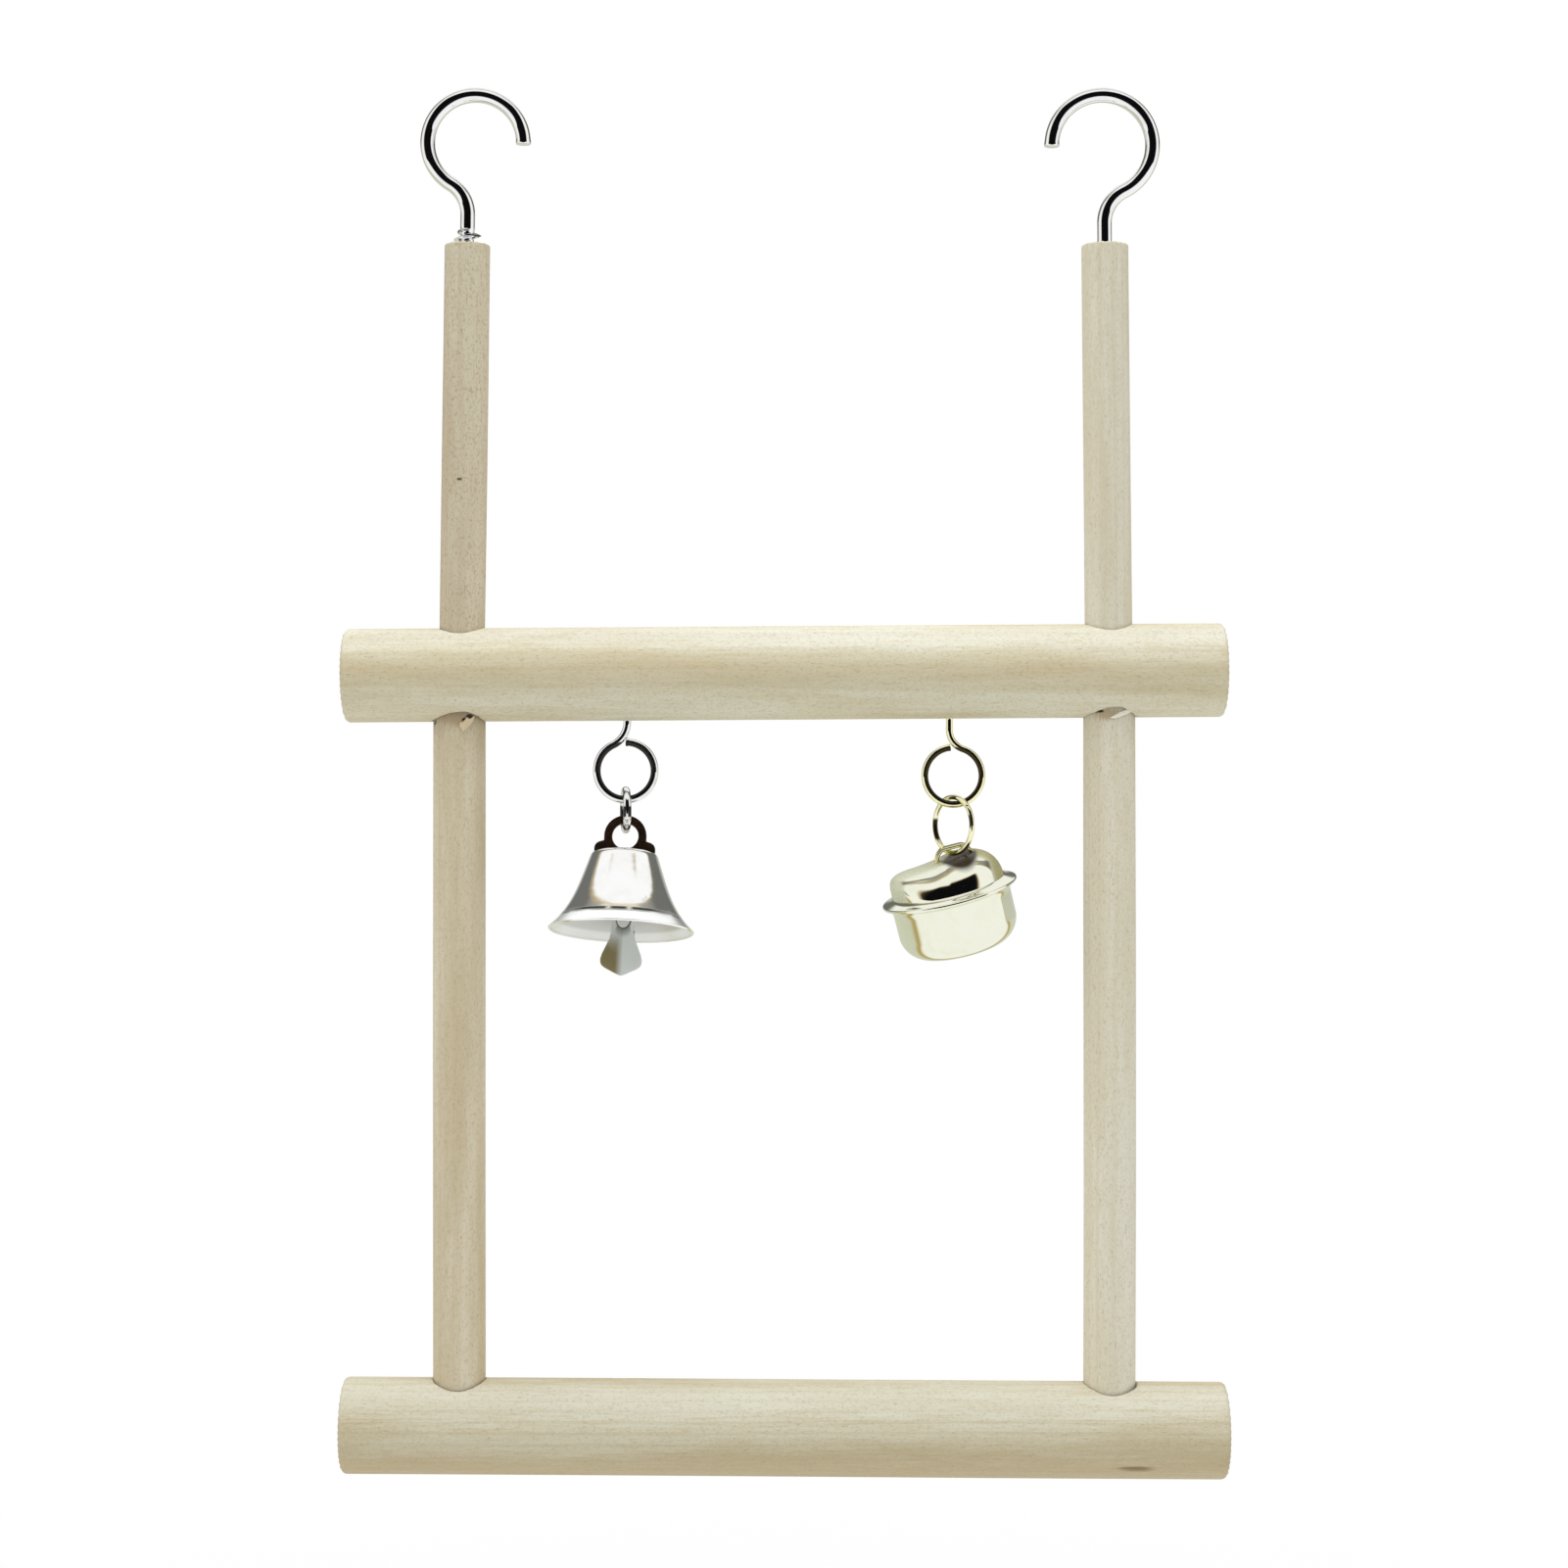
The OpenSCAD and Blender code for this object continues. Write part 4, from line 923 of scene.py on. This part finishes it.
def plate(name, shape, hole, thickness, edge, where, far, fold=None, crease=22, marks=None):
    """Hole ring to outline ring at both faces, with edges rounded by quarter circles. fold moves
    each point back by a function of x and z, and marks are functions of them too."""
    angles = circle(360) + np.pi / 2
    outer, inner = rays(shape, angles, far), hole(angles)
    reach = outer - inner
    t = thickness / 2
    q = np.radians(np.linspace(0, 90, 7))
    near = [(edge * (1 - np.cos(k)), t - edge + edge * np.sin(k)) for k in q]
    rows = []
    for sign in (-1, 1):
        halves = [(inner + off, sign * depth) for off, depth in near]
        halves += [(inner + edge + (reach - 2 * edge) * s, sign * t) for s in (0.2, 0.4, 0.6, 0.8)]
        halves += [(outer - off, sign * depth) for off, depth in near[::-1]]
        rows += halves[::sign * -1]
    rho = np.array([r + 0 * angles for r, _ in rows])
    x, z = rho * np.cos(angles), rho * np.sin(angles)
    y = np.array([[depth] for _, depth in rows]) + 0 * x
    if fold is not None:
        y = y + fold(x, z)
    found = {key: f(x, z) for key, f in (marks or {}).items()}
    return skin(name, xyz(x, y, z), marks=found, where=where, crease=crease)


BAIL_HOLE_R, BAIL_ARCH_R, BAIL_T, SLACK = 2.1, 3.4, 0.8, 0.36
BAIL_HOLE_Z = -(BAIL_HOLE_R - LINK_WIRE_R - SLACK)


def bail_shape(x, z):
    """Arch round the hole, straight sides down to the crown, and two shoulders."""
    base = CROWN_Z - BAIL_HOLE_Z
    arch = np.hypot(x, z) <= BAIL_ARCH_R
    sides = (np.abs(x) <= BAIL_ARCH_R) & (z <= 0) & (z >= base)
    knob = (np.hypot(np.abs(x) - 3.75, z - base - 0.55) <= 1.15) & (z >= base)
    shoulder = (np.abs(x) <= 3.75) & (z >= base) & (z <= base + 1.7)
    foot = (np.abs(x) <= 4.9) & (z >= base) & (z <= base + 0.55)
    return arch | sides | knob | shoulder | foot


bail = plate("bell_bail_plate", bail_shape, lambda a: BAIL_HOLE_R + 0 * a, BAIL_T, 0.13,
             BELL @ shift(0, 0, BAIL_HOLE_Z), 9)
settle(bail, "bell", "dark_plate", dark_plate, "bell_bail")


def tang_shape(x, z):
    """The tongue that goes through the crown, with a hole for the clapper's link."""
    return (np.abs(x) <= 1.6) & (z <= 1.85) & (z >= -1.5)


tang = plate("bell_bail_tang", tang_shape, lambda a: 0.95 + 0 * a, BAIL_T, 0.1,
             BELL @ shift(0, 0, -5.59), 4)
settle(tang, "bell", "dark_plate", dark_plate)

# %% [markdown]
# The clapper is a stamped blade, folded a little along its middle so that it is stiff. Its top
# was cut in a V, which shows as a notch under the rim. Its outline is wide low down and runs to
# a blunt point. It hangs from a long wire link that is hidden in the cup.

# %% Clapper and its link
def clapper_shape(x, z):
    """Half the width at each height, from the round head down to the point."""
    down = [-2.2, -1.9, -1.2, 0.0, 1.0, 2.2, 3.2, 4.2, 5.4, 6.6, 7.6, 8.2, 8.57, 8.95, 9.5, 9.9,
            10.05]
    half = [0.3, 1.1, 1.8, 2.1, 2.1, 1.95, 1.9, 2.05, 2.6, 3.1, 3.37, 3.3, 3.1, 2.6, 1.45, 0.6,
            0.15]
    return np.abs(x) <= np.interp(-z, down, half, left=0, right=0)


def notch(angles):
    """The hole: round above, drawn down to a V below."""
    below = unit(-np.sin(angles))
    return 1.3 + 1.05 * below ** 4


def painted_facet_shade(x, z):
    """1 on the left facet low down: painted shade, an olive-brown darkening of that facet."""
    return unit(-x / 0.9 - 0.1) * unit((-3.4 - z) / 2.2)


def painted_edge_shade(x, z):
    """1 along the V of the hole and the blade's right edge: painted shade on the hole's edge and
    on the blade's thickness.
    """
    rim = np.hypot(x, z) - notch(np.arctan2(z, x))
    vee = unit(1.6 - rim / 0.16) * (z < -0.9)
    right = unit((x - 1.75 - 0.42 * (-3.2 - z)) / 0.12) * (z < -2.9) * (z > -6.4)
    return np.maximum(vee, right)


CLAPPER = shift(-26.4408, -1.16223, -129.574)
blade = plate("clapper_blade", clapper_shape, notch, 0.7, 0.14,
              CLAPPER @ turn("y", 3) @ turn("z", 9) @ shift(0, 0, -0.70), 10.3,
              lambda x, z: np.abs(x) * np.tan(np.radians(12)), 20,
              marks={"painted_facet_shade": painted_facet_shade, "painted_edge_shade": painted_edge_shade})
settle(blade, "bell_clapper", "nickel_sheet", clapper_nickel, "clapper")
END_R, HALF_LINK = 1.5, 3.5
half = HALF_LINK - END_R
rail = np.linspace(1, -1, 16)[1:-1] * half
rails = [xyz(way * END_R, 0, -way * rail) for way in (-1, 1)]
link_path = np.concatenate([arc((0, half), END_R, 0, 180, 5), rails[0],
                            arc((0, -half), END_R, 180, 360, 5), rails[1]])
hanger = wire("clapper_link_wire", link_path, 0.4,
              CLAPPER @ shift(0, 0, HALF_LINK) @ turn("z", 90), closed=True, sides=28)
settle(hanger, "clapper_wire", "steel_wire", steel_wire, "clapper_link")

# %% [markdown]
# ## The jingle bell
# Two pressed cups meet in a rolled seam: the lower cup's edge is wide and curls over the flange
# of the upper one. Such bells are never quite even. The press left the upper cup a little
# higher on the right, and it has sunk under the strap. A small lift and a dent, which both fade
# towards the rim, do that. The sound slots are cut with a boolean, which is exact here.

# %% Shells
STRAP_X, SEAM_Z = 2.1, -6.1935
JINGLE = shift(BRASS_X, 0, JINGLE_Z) @ turn("y", -14.2) @ turn("x", 8.5) @ shift(-STRAP_X, 0, 0)
SHELLS = JINGLE @ shift(0, 0, SEAM_Z)
DOME_STEPS = 46
SHEET, UPPER_R, UPPER_H, LOWER_R, LOWER_H, LOWER_ROUND = 0.5, 9.2, 5.0, 9.65, 9.8, 4.4


def cup_profile(r, h, rounding):
    """From the pole out: a face that rises by dome at its rim, a rounded edge and the wall."""
    dome = 0.25
    rim = np.linspace(0, r - rounding, 18)
    face = np.stack([rim, dome * (rim / (r - rounding)) ** 2 - h], -1)
    a = np.radians(np.linspace(90, 0, 18))
    edge = np.stack([r - rounding + rounding * np.cos(a),
                     dome + rounding - h - rounding * np.sin(a)], -1)
    return np.concatenate([face, edge[1:]])


def squeezed_cup(r, h, wall):
    """Two nested domes |r / R|^n + |z / H|^n = 1, each from its pole to its rim. The power n is 7
    on the left, 2.3 in front and behind and 3.2 on the right, so the left wall stands steep."""
    a = circle(ROUND)
    power = 2.3 + 4.7 * unit(-np.cos(a)) ** 4 + 0.9 * unit(np.cos(a))
    slope = np.pi / 2 * np.linspace(0, 1, DOME_STEPS)[1:, None] ** 1.5
    along, up = np.sin(slope) ** (2 / power), np.cos(slope) ** (2 / power)
    return [xyz((r - off) * along * np.cos(a), (r - off) * along * np.sin(a), (h - off) * up)
            for off in (0, wall)]


def uneven_lift(points):
    """Lifts the right half by a smooth step in x, and sinks the middle under the strap by a bell
    curve. Both fade towards the rim with the square of the height."""
    x, y, z = points[..., 0], points[..., 1], points[..., 2]
    step = unit((x + 5) / 9)
    rise = 1.55 * step * step * (3 - 2 * step)
    dent = 1.1 * np.exp(-((x - STRAP_X) ** 2 + y ** 2) / (2 * 1.9 ** 2))
    return xyz(x, y, z + (rise - dent) * (np.clip(z, 0, None) / 5.05) ** 2)


outer, inner = squeezed_cup(UPPER_R, UPPER_H, SHEET)
flange = [(9.22, 0.55), (9.34, 0.48), (9.6, 0.45), (10.0, 0.42), (10.05, 0.15), (8.7, 0.05)]
r, z = np.array(flange).T[..., None]
rim = xyz(r * np.cos(circle(ROUND)), r * np.sin(circle(ROUND)), z)
rows = np.concatenate([outer[outer[:, 0, 2] > 0.6], rim, inner[::-1]])
ends = uneven_lift(np.array([(0, 0, UPPER_H), (0, 0, UPPER_H - SHEET)]))
across, deep, high = rows[..., 0], rows[..., 1], rows[..., 2]
outside = np.arange(len(rows))[:, None] < DOME_STEPS
# Beside the satin coat, the shell's right side gets a painted reflection, a golden cast, and a
# dark patch on the dome by the strap is painted shade for the hollow under the strap.
hollow = np.hypot((across - 2.8) / 2.5, (deep + 1.9) / 4.4)
coat_share = np.maximum(unit((deep + 4.3) / 1.4), unit((np.abs(across) - 6.9) / 0.8)) * outside
finish = {"satin": coat_share, "painted_gold_reflection": coat_share * unit((across + 3.5) / 6.5),
          "slit": unit((1.25 - hollow) / 0.25) * (high > 3) * outside}
upper = skin("jingle_upper_sheet", uneven_lift(rows), ends, finish, SHELLS, 50)
settle(upper, "jingle_bell", "brass_sheet", brass_sheet, "jingle_top_shell")

low_outer = cup_profile(LOWER_R, LOWER_H, LOWER_ROUND)
low_inner = cup_profile(LOWER_R - SHEET, LOWER_H - SHEET, LOWER_ROUND - SHEET)[::-1]
tip_angle = np.radians(np.linspace(-70, 70, 9))
flare = [(9.66, -1.55), (9.70, -1.2), (9.82, -0.85), (10.05, -0.52), (10.40, -0.25),
         (10.74, -0.10)]
tip = np.stack([10.78 + 0.30 * np.cos(tip_angle), 0.19 + 0.30 * np.sin(tip_angle)], -1)
roof = [(10.66, 0.53), (10.30, 0.66), (9.92, 0.80), (9.64, 0.95), (9.44, 1.10), (9.33, 1.20),
        (9.25, 1.16), (9.25, 0.95), (9.34, 0.70), (9.9, 0.55), (10.5, 0.3), (10.0, 0.02),
        (9.3, -0.1), (9.15, -0.4)]
lower_profile = np.concatenate([low_outer[:-1], flare, tip, roof, low_inner])
lower = turned("jingle_lower_sheet", lower_profile, None, 2 * ROUND)


def slot_shape(x, y):
    """A straight slit with a round hole at each end."""
    slit = (np.abs(x) <= 5.0) & (np.abs(y) <= 0.65)
    return slit | (np.hypot(np.abs(x) - 5.0, y) <= 1.1)


def cut_slot(piece, degrees):
    """Takes a prism with the slot's outline out of the shell and keeps the result as its mesh."""
    a = circle(120)
    rho = rays(slot_shape, a, 7)
    level = np.array([[-12.0], [-8.6]])
    rows = xyz(rho * np.cos(a), rho * np.sin(a), level)
    knife = skin("slot_cutter", rows, xyz(0, 0, level[:, 0]), where=turn("z", degrees))
    cut = piece.modifiers.new("slot", "BOOLEAN")
    cut.operation, cut.object, cut.solver = "DIFFERENCE", knife, "EXACT"
    graph = bpy.context.evaluated_depsgraph_get()
    mesh = bpy.data.meshes.new_from_object(piece.evaluated_get(graph))
    piece.modifiers.remove(cut)
    piece.data = mesh
    bpy.data.objects.remove(knife)
    print("slot cut:", len(mesh.polygons), "faces left")


for degrees in (45, 135):
    cut_slot(lower, degrees)
points = np.empty(len(lower.data.vertices) * 3, np.float32)
lower.data.vertices.foreach_get("co", points)
points = placed(points.reshape(-1, 3) / MM, SHELLS) * MM
lower.data.vertices.foreach_set("co", points.astype(np.float32).ravel())
lower.data.set_sharp_from_angle(angle=np.radians(32))
lower.data.update()
settle(lower, "jingle_bell", "brass_sheet", brass_sheet, "jingle_bottom_shell")

# %% [markdown]
# The strap is a ribbon of brass, bent over the ring and pushed through two slits in the shell.
# Its feet spread a little before they go in. A ribbon is a path with a flat, round-edged outline
# carried along it.

# %% Strap
def ribbon(name, path, width, thickness, where):
    """Outline is a rounded box: |n / t|^5 + |y / w|^5 = 1, carried square to the path."""
    _, normal, side = path_axes(path)
    c, s = np.cos(circle(56)), np.sin(circle(56))
    reach = (np.abs(c) ** 5 + np.abs(s) ** 5) ** (-1 / 5)
    n, w = thickness / 2 * c * reach, width / 2 * s * reach
    rows = path[:, None] + n[:, None] * side[:, None] + w[:, None] * normal
    return skin(name, rows, [path[0], path[-1]], where=where, crease=40)


def evenly(corners, count, closed=False):
    """So many points at even steps along the line through the corners."""
    line = np.array([*corners, corners[0]] if closed else corners, float)
    along = np.concatenate([[0], np.cumsum(np.linalg.norm(np.diff(line, axis=0), axis=1))])
    even = np.linspace(0, along[-1], count, endpoint=not closed)
    return np.stack([np.interp(even, along, column) for column in line.T], -1)


def smooth_path(points, count):
    """A curve near the corner points, rounded by ten passes of a moving average."""
    curve = evenly(points, count)
    for _ in range(10):
        curve[1:-1] = (curve[:-2] + curve[1:-1] * 2 + curve[2:]) / 4
    return curve


STRAP_W, STRAP_T, UNDERSIDE = 2.0, 0.6, 0.7565
top_mid, crown = UNDERSIDE + STRAP_T / 2, UNDERSIDE - 1.95
half_strap = [(2.9, 0, crown - 1.3), (2.85, 0, crown - 0.1), (3.0, 0, crown + 0.5),
              (2.55, 0, top_mid - 0.7), (1.7, 0, top_mid)]
strap_path = smooth_path([(-x, y, z) for x, y, z in half_strap] + half_strap[::-1], 90)
strap = ribbon("jingle_strap_ribbon", strap_path, STRAP_W, STRAP_T,
               JINGLE @ shift(STRAP_X, 0, 0))
settle(strap, "jingle_bell", "brass_sheet", strap_brass, "jingle_strap")

# The loose ball keeps its CAD mesh and only gets its finish.
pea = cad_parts["jingle_pea"]
pea.data.materials.clear()
pea.data.materials.append(steel_wire)

# %% [markdown]
# ## Torn wood
# The drill broke the wood's edge where the posts go in. On the left a small chip hangs over the
# post, and on the right a thin spike lies along the hole. Each is a leaf: rings that grow from
# the middle to a drawn outline, first over the front, then back over the rear.

# %% Chips
def waves(seed, count, *spans):
    """A smooth random field over arrays of coordinates: a sum of cosines whose frequencies are
    drawn up to the given limits, scaled to about -1..1. The seed fixes the draw."""
    dice = np.random.default_rng(seed)
    total = 0.0
    for _ in range(count):
        phase = dice.uniform(0, 2 * np.pi)
        inside = sum(values * dice.uniform(-limit, limit) for values, limit in spans)
        total = total + np.cos(inside + phase)
    return total / np.sqrt(count)


def chip(name, outline, spine, thickness, material):
    """outline is (x, z) corners in mm. Each ring is a share of it, and share^4 thins the leaf at
    its edge. spine gives the depth y of its middle layer at each (x, z)."""
    edge = evenly(outline, 90, closed=True)
    middle = edge.mean(axis=0)
    share = np.linspace(0.08, 1, 12)
    share = np.concatenate([share, share[-2::-1]])[:, None, None]
    flat = middle + (edge - middle) * share
    side = np.concatenate([-np.ones(12), np.ones(11)])[:, None]
    x, z = flat[..., 0], flat[..., 1]
    middle_y = spine(x, z) + 0.05 * waves(len(outline), 6, (x, 9), (z, 3))
    rows = xyz(x, side * thickness / 2 * (1 - share[..., 0] ** 4) + middle_y, z)
    poles = [rows[0].mean(axis=0), rows[-1].mean(axis=0)]
    return settle(skin(name, rows, poles, crease=40), "frame", "perch_wood", material)


def over_post(centre_x, gap, lean, top_z):
    """Depth in front of a post, moving out by lean towards the top."""
    def spine(x, z):
        off = gap + lean * unit(1 - (top_z - z) / 2.6) ** 2
        return -np.sqrt(POST_R ** 2 - np.square(x - centre_x)) - off
    return spine


fresh_wood = raw_wood("fresh_torn_wood", "z", (-0.050, 0.004), 5.5, (0.86, 0.72, 0.50),
                      (0.80, 0.63, 0.40), 0.2, 0.2)
# The spike's wood is pale fresh wood, brightened further as painted light, since the perch shades
# it.
pale_wood = raw_wood("pale_torn_wood", "x", (0.050, -0.104), 7.5, (1.0, 0.96, 0.83),
                     (1.0, 0.92, 0.76), 0.0, 0.05)
left_chip = [(-50.12, -98.62), (-50.25, -99.25), (-50.72, -99.96), (-51.27, -100.67),
             (-51.93, -101.22), (-52.14, -100.83), (-52.48, -100.35), (-52.45, -99.85),
             (-51.74, -99.48), (-51.27, -98.89), (-51.00, -99.20), (-50.64, -99.04)]
chip("torn_chip", left_chip, over_post(LEFT_POST_X, 0.20, 0.35, -98.6), 0.34, fresh_wood)
right_spike = [(51.15, -98.98), (51.90, -98.55), (52.70, -98.10), (53.50, -97.76), (54.10, -97.60),
               (54.55, -97.72), (54.62, -98.10), (54.05, -98.36), (53.30, -98.64), (52.50, -98.96),
               (51.80, -99.14)]
chip("torn_spike", right_spike, lambda x, z: -4.36 + 0.75 * (x - 51.4) / 3.3, 0.32, pale_wood)

# %% [markdown]
# ## The set
# The picture was taken on plain white. The floor lies well under the swing and keeps its soft
# shadow, and the camera sees floor and sky as white. Bright metal needs something to reflect:
# in a product photograph it shows white panels and the dark gaps between them. The sky's colours
# for reflections give the same: a white tent in front with a warm edge and a dark strip where the
# camera stands, two panels overhead with a groove between them, and grey behind.

# %% Sky and floor
def studio_sky():
    """World shader: white to the camera, plain soft light for diffuse rays, panels for gloss."""
    world = bpy.data.worlds.new("studio")
    bpy.context.scene.world = world
    n = Nodes(world, "ShaderNodeOutputWorld")
    direction = n.add("ShaderNodeTexCoord").outputs["Generated"]
    across, depth, high = n.parts(direction)
    flat = n.math("SQRT", n.plus(n.times(across, across), n.times(depth, depth)))
    forward = n.times(depth, -1.0)
    front = n.math("DIVIDE", forward, n.math("MAXIMUM", flat, 0.001))
    aside = n.math("ABSOLUTE", across)
    # The dark strip ahead, between two heights.
    ahead = n.span(front, 0.46, 0.68)
    level = n.times(n.span(high, -0.36, -0.24), n.span(high, 0.74, 0.83, 1.0, 0.0))
    dark = n.times(ahead, level)
    # The white tent in front, whose edge lies further in and is softer on the left.
    edge = n.plus(forward, n.times(n.math("POWER", aside, 1.5), 0.30))
    soften = n.span(across, -0.42, -0.08, 0.36, 1.0)
    inset = n.span(across, -0.42, -0.08, 0.10, 0.02)
    tent = n.span(n.times(n.minus(edge, inset), soften), -0.095, 0.0)
    # Two panels overhead with a dark groove between them.
    line = n.plus(forward, n.times(aside, 0.42))
    overhead = n.times(n.span(high, 0.78, 0.88), n.span(aside, 0.26, 0.42, 1.0, 0.0))
    rear = n.times(n.span(line, -0.235, -0.195, 1.0, 0.0),
                   n.times(n.span(high, 0.40, 0.52), n.span(aside, 0.42, 0.52, 1.0, 0.0)))
    near = n.span(line, -0.15, -0.12)
    groove = n.times(n.minus(n.span(line, -0.22, -0.18), near), overhead)
    beyond = n.ramp(n.span(high, -0.2, 1.0), (0.0, (0.66, 0.67, 0.60)),
                    (0.16, (0.55, 0.555, 0.50)), (0.30, (0.155, 0.16, 0.15)),
                    (0.85, (0.17, 0.165, 0.15)), (1.0, (0.40, 0.39, 0.35)))
    beyond = n.mix(n.times(near, overhead), beyond, (0.85, 0.82, 0.74))
    beyond = n.mix(groove, beyond, (0.03, 0.028, 0.025))
    beyond = n.mix(rear, beyond, (0.98, 0.98, 0.97))
    seam = n.ramp(tent, (0.0, (1.0, 1.0, 1.0)), (0.35, (0.84, 0.68, 0.42)),
                  (0.62, (0.74, 0.61, 0.38)), (1.0, (1.0, 1.0, 1.0)))
    lit = n.mix(1.0, n.mix(tent, beyond, (1.0, 1.0, 1.0)), seam, "MULTIPLY")
    horizon = n.ramp(dark, (0.0, (1, 1, 1)), (0.3, (0.62, 0.53, 0.38)),
                     (0.65, (0.06, 0.045, 0.03)), (1.0, (0.004, 0.004, 0.005)))
    gloss = n.glow("Background", n.mix(1.0, lit, horizon, "MULTIPLY"))
    # Plain light for diffuse rays: stronger from above and from the left, cooler from above.
    sideways = n.math("POWER", n.math("ABSOLUTE", n.minus(across, 0.18)), 2.0)
    around = n.plus(n.span(high, -0.9, 0.9, 0.37, 0.70), n.times(sideways, 0.44))
    around = n.minus(around, n.times(ahead, 0.12))
    tint = n.mix(n.span(high, -0.3, 0.7), (1.0, 0.965, 0.90), (0.94, 0.98, 1.0))
    ray = n.add("ShaderNodeLightPath").outputs
    light = n.fork(ray["Is Glossy Ray"], n.glow("Background", tint, around), gloss)
    n.show(n.fork(ray["Is Camera Ray"], light, n.glow("Background", (1, 1, 1))))


studio_sky()


def floor_finish():
    """White to the camera. Near the swing lit paint shows through, which keeps a soft shadow.
    In mirrors it is a white table with a gold seam to a dark space in front."""
    n = Nodes(bpy.data.materials.new("white_floor"))
    coords = n.place()
    away = n.length(coords)
    across, depth, _ = n.parts(coords)
    mottle = n.mix(n.noise(coords, 40), (0.80, 0.795, 0.77), (0.86, 0.855, 0.83))
    paint = n.add("ShaderNodeBsdfDiffuse", None, Color=mottle).outputs[0]
    # The table's edge: |x| * 0.33, drawn back on the left by a curve x * exp(-x / 0.9).
    leftward = n.math("MAXIMUM", n.times(across, -1.0), 0.0)
    pull = n.times(leftward, n.math("EXPONENT", n.math("DIVIDE", leftward, -0.9)))
    aside = n.minus(n.times(n.math("ABSOLUTE", across), 0.33), n.times(pull, 1.5))
    before = n.minus(n.plus(aside, 0.235), depth)
    share = n.math("DIVIDE", before, n.plus(away, 0.08))
    table = n.ramp(n.span(share, -0.24, 0.12), (0.0, (0.66, 0.68, 0.57)),
                   (0.40, (0.50, 0.40, 0.17)), (0.70, (0.52, 0.41, 0.18)), (1.0, (1.0, 1.0, 1.0)))
    ahead = n.math("DIVIDE", n.times(depth, -1.0), n.math("MAXIMUM", away, 0.01))
    far = n.times(n.span(ahead, 0.80, 0.92), n.span(away, 0.62, 0.95))
    mirrored = n.glow("Emission", n.mix(far, table, (0.005, 0.005, 0.005)))
    ray = n.add("ShaderNodeLightPath").outputs
    seen = n.times(ray["Is Camera Ray"], n.span(away, 0.36, 0.62, 0.88, 1.0))
    plain = n.fork(seen, paint, n.glow("Emission", (1, 1, 1)))
    return n.show(n.fork(ray["Is Glossy Ray"], plain, mirrored))


REACH, FLOOR_Z = 6.0, -0.34
corners = [(-REACH, -REACH, FLOOR_Z), (REACH, -REACH, FLOOR_Z),
           (REACH, REACH, FLOOR_Z), (-REACH, REACH, FLOOR_Z)]
floor_mesh = bpy.data.meshes.new("floor")
floor_mesh.from_pydata(corners, [], [(0, 1, 2, 3)])
floor_mesh.materials.append(floor_finish())
floor = add_object("floor", floor_mesh)
print("floor:", 2 * REACH, "m wide,", -FLOOR_Z, "m under the hooks' seats")

# %% [markdown]
# One broad lamp stands above and in front. The sky does the rest. Both are at a plain level, so
# that a colour renders about as it is written. The camera stands level with the bells, as far
# off as the photographer's lens says.

# %% Lamp and camera
lamp_data = bpy.data.lights.new("overhead_lamp", "AREA")
lamp_data.shape, lamp_data.size = "SQUARE", 0.5
lamp_data.energy, lamp_data.color = 4.6, (0.95, 0.985, 1.0)
lamp = add_object("overhead_lamp", lamp_data)
lamp.location = (0.05, -0.22, 0.75)
aim = Vector((0, 0, -0.12)) - Vector(lamp.location)
lamp.rotation_euler = aim.to_track_quat("-Z", "Y").to_euler()
lamp.visible_glossy = False

SENSOR, FOCAL_PIXELS, PHOTO_PIXELS = 36, 3000, 1601
camera_data = bpy.data.cameras.new("camera")
camera_data.sensor_width = SENSOR
camera_data.lens = SENSOR * FOCAL_PIXELS / PHOTO_PIXELS
camera_data.clip_start = 0.01
camera = add_object("camera", camera_data)
camera.location = (-0.00079, -0.4725, -0.10957)
camera.rotation_euler = (np.pi / 2, 0, 0)
bpy.context.scene.camera = camera
bpy.context.scene.view_settings.view_transform = "Standard"
print("camera:", round(camera_data.lens, 2), "mm lens")
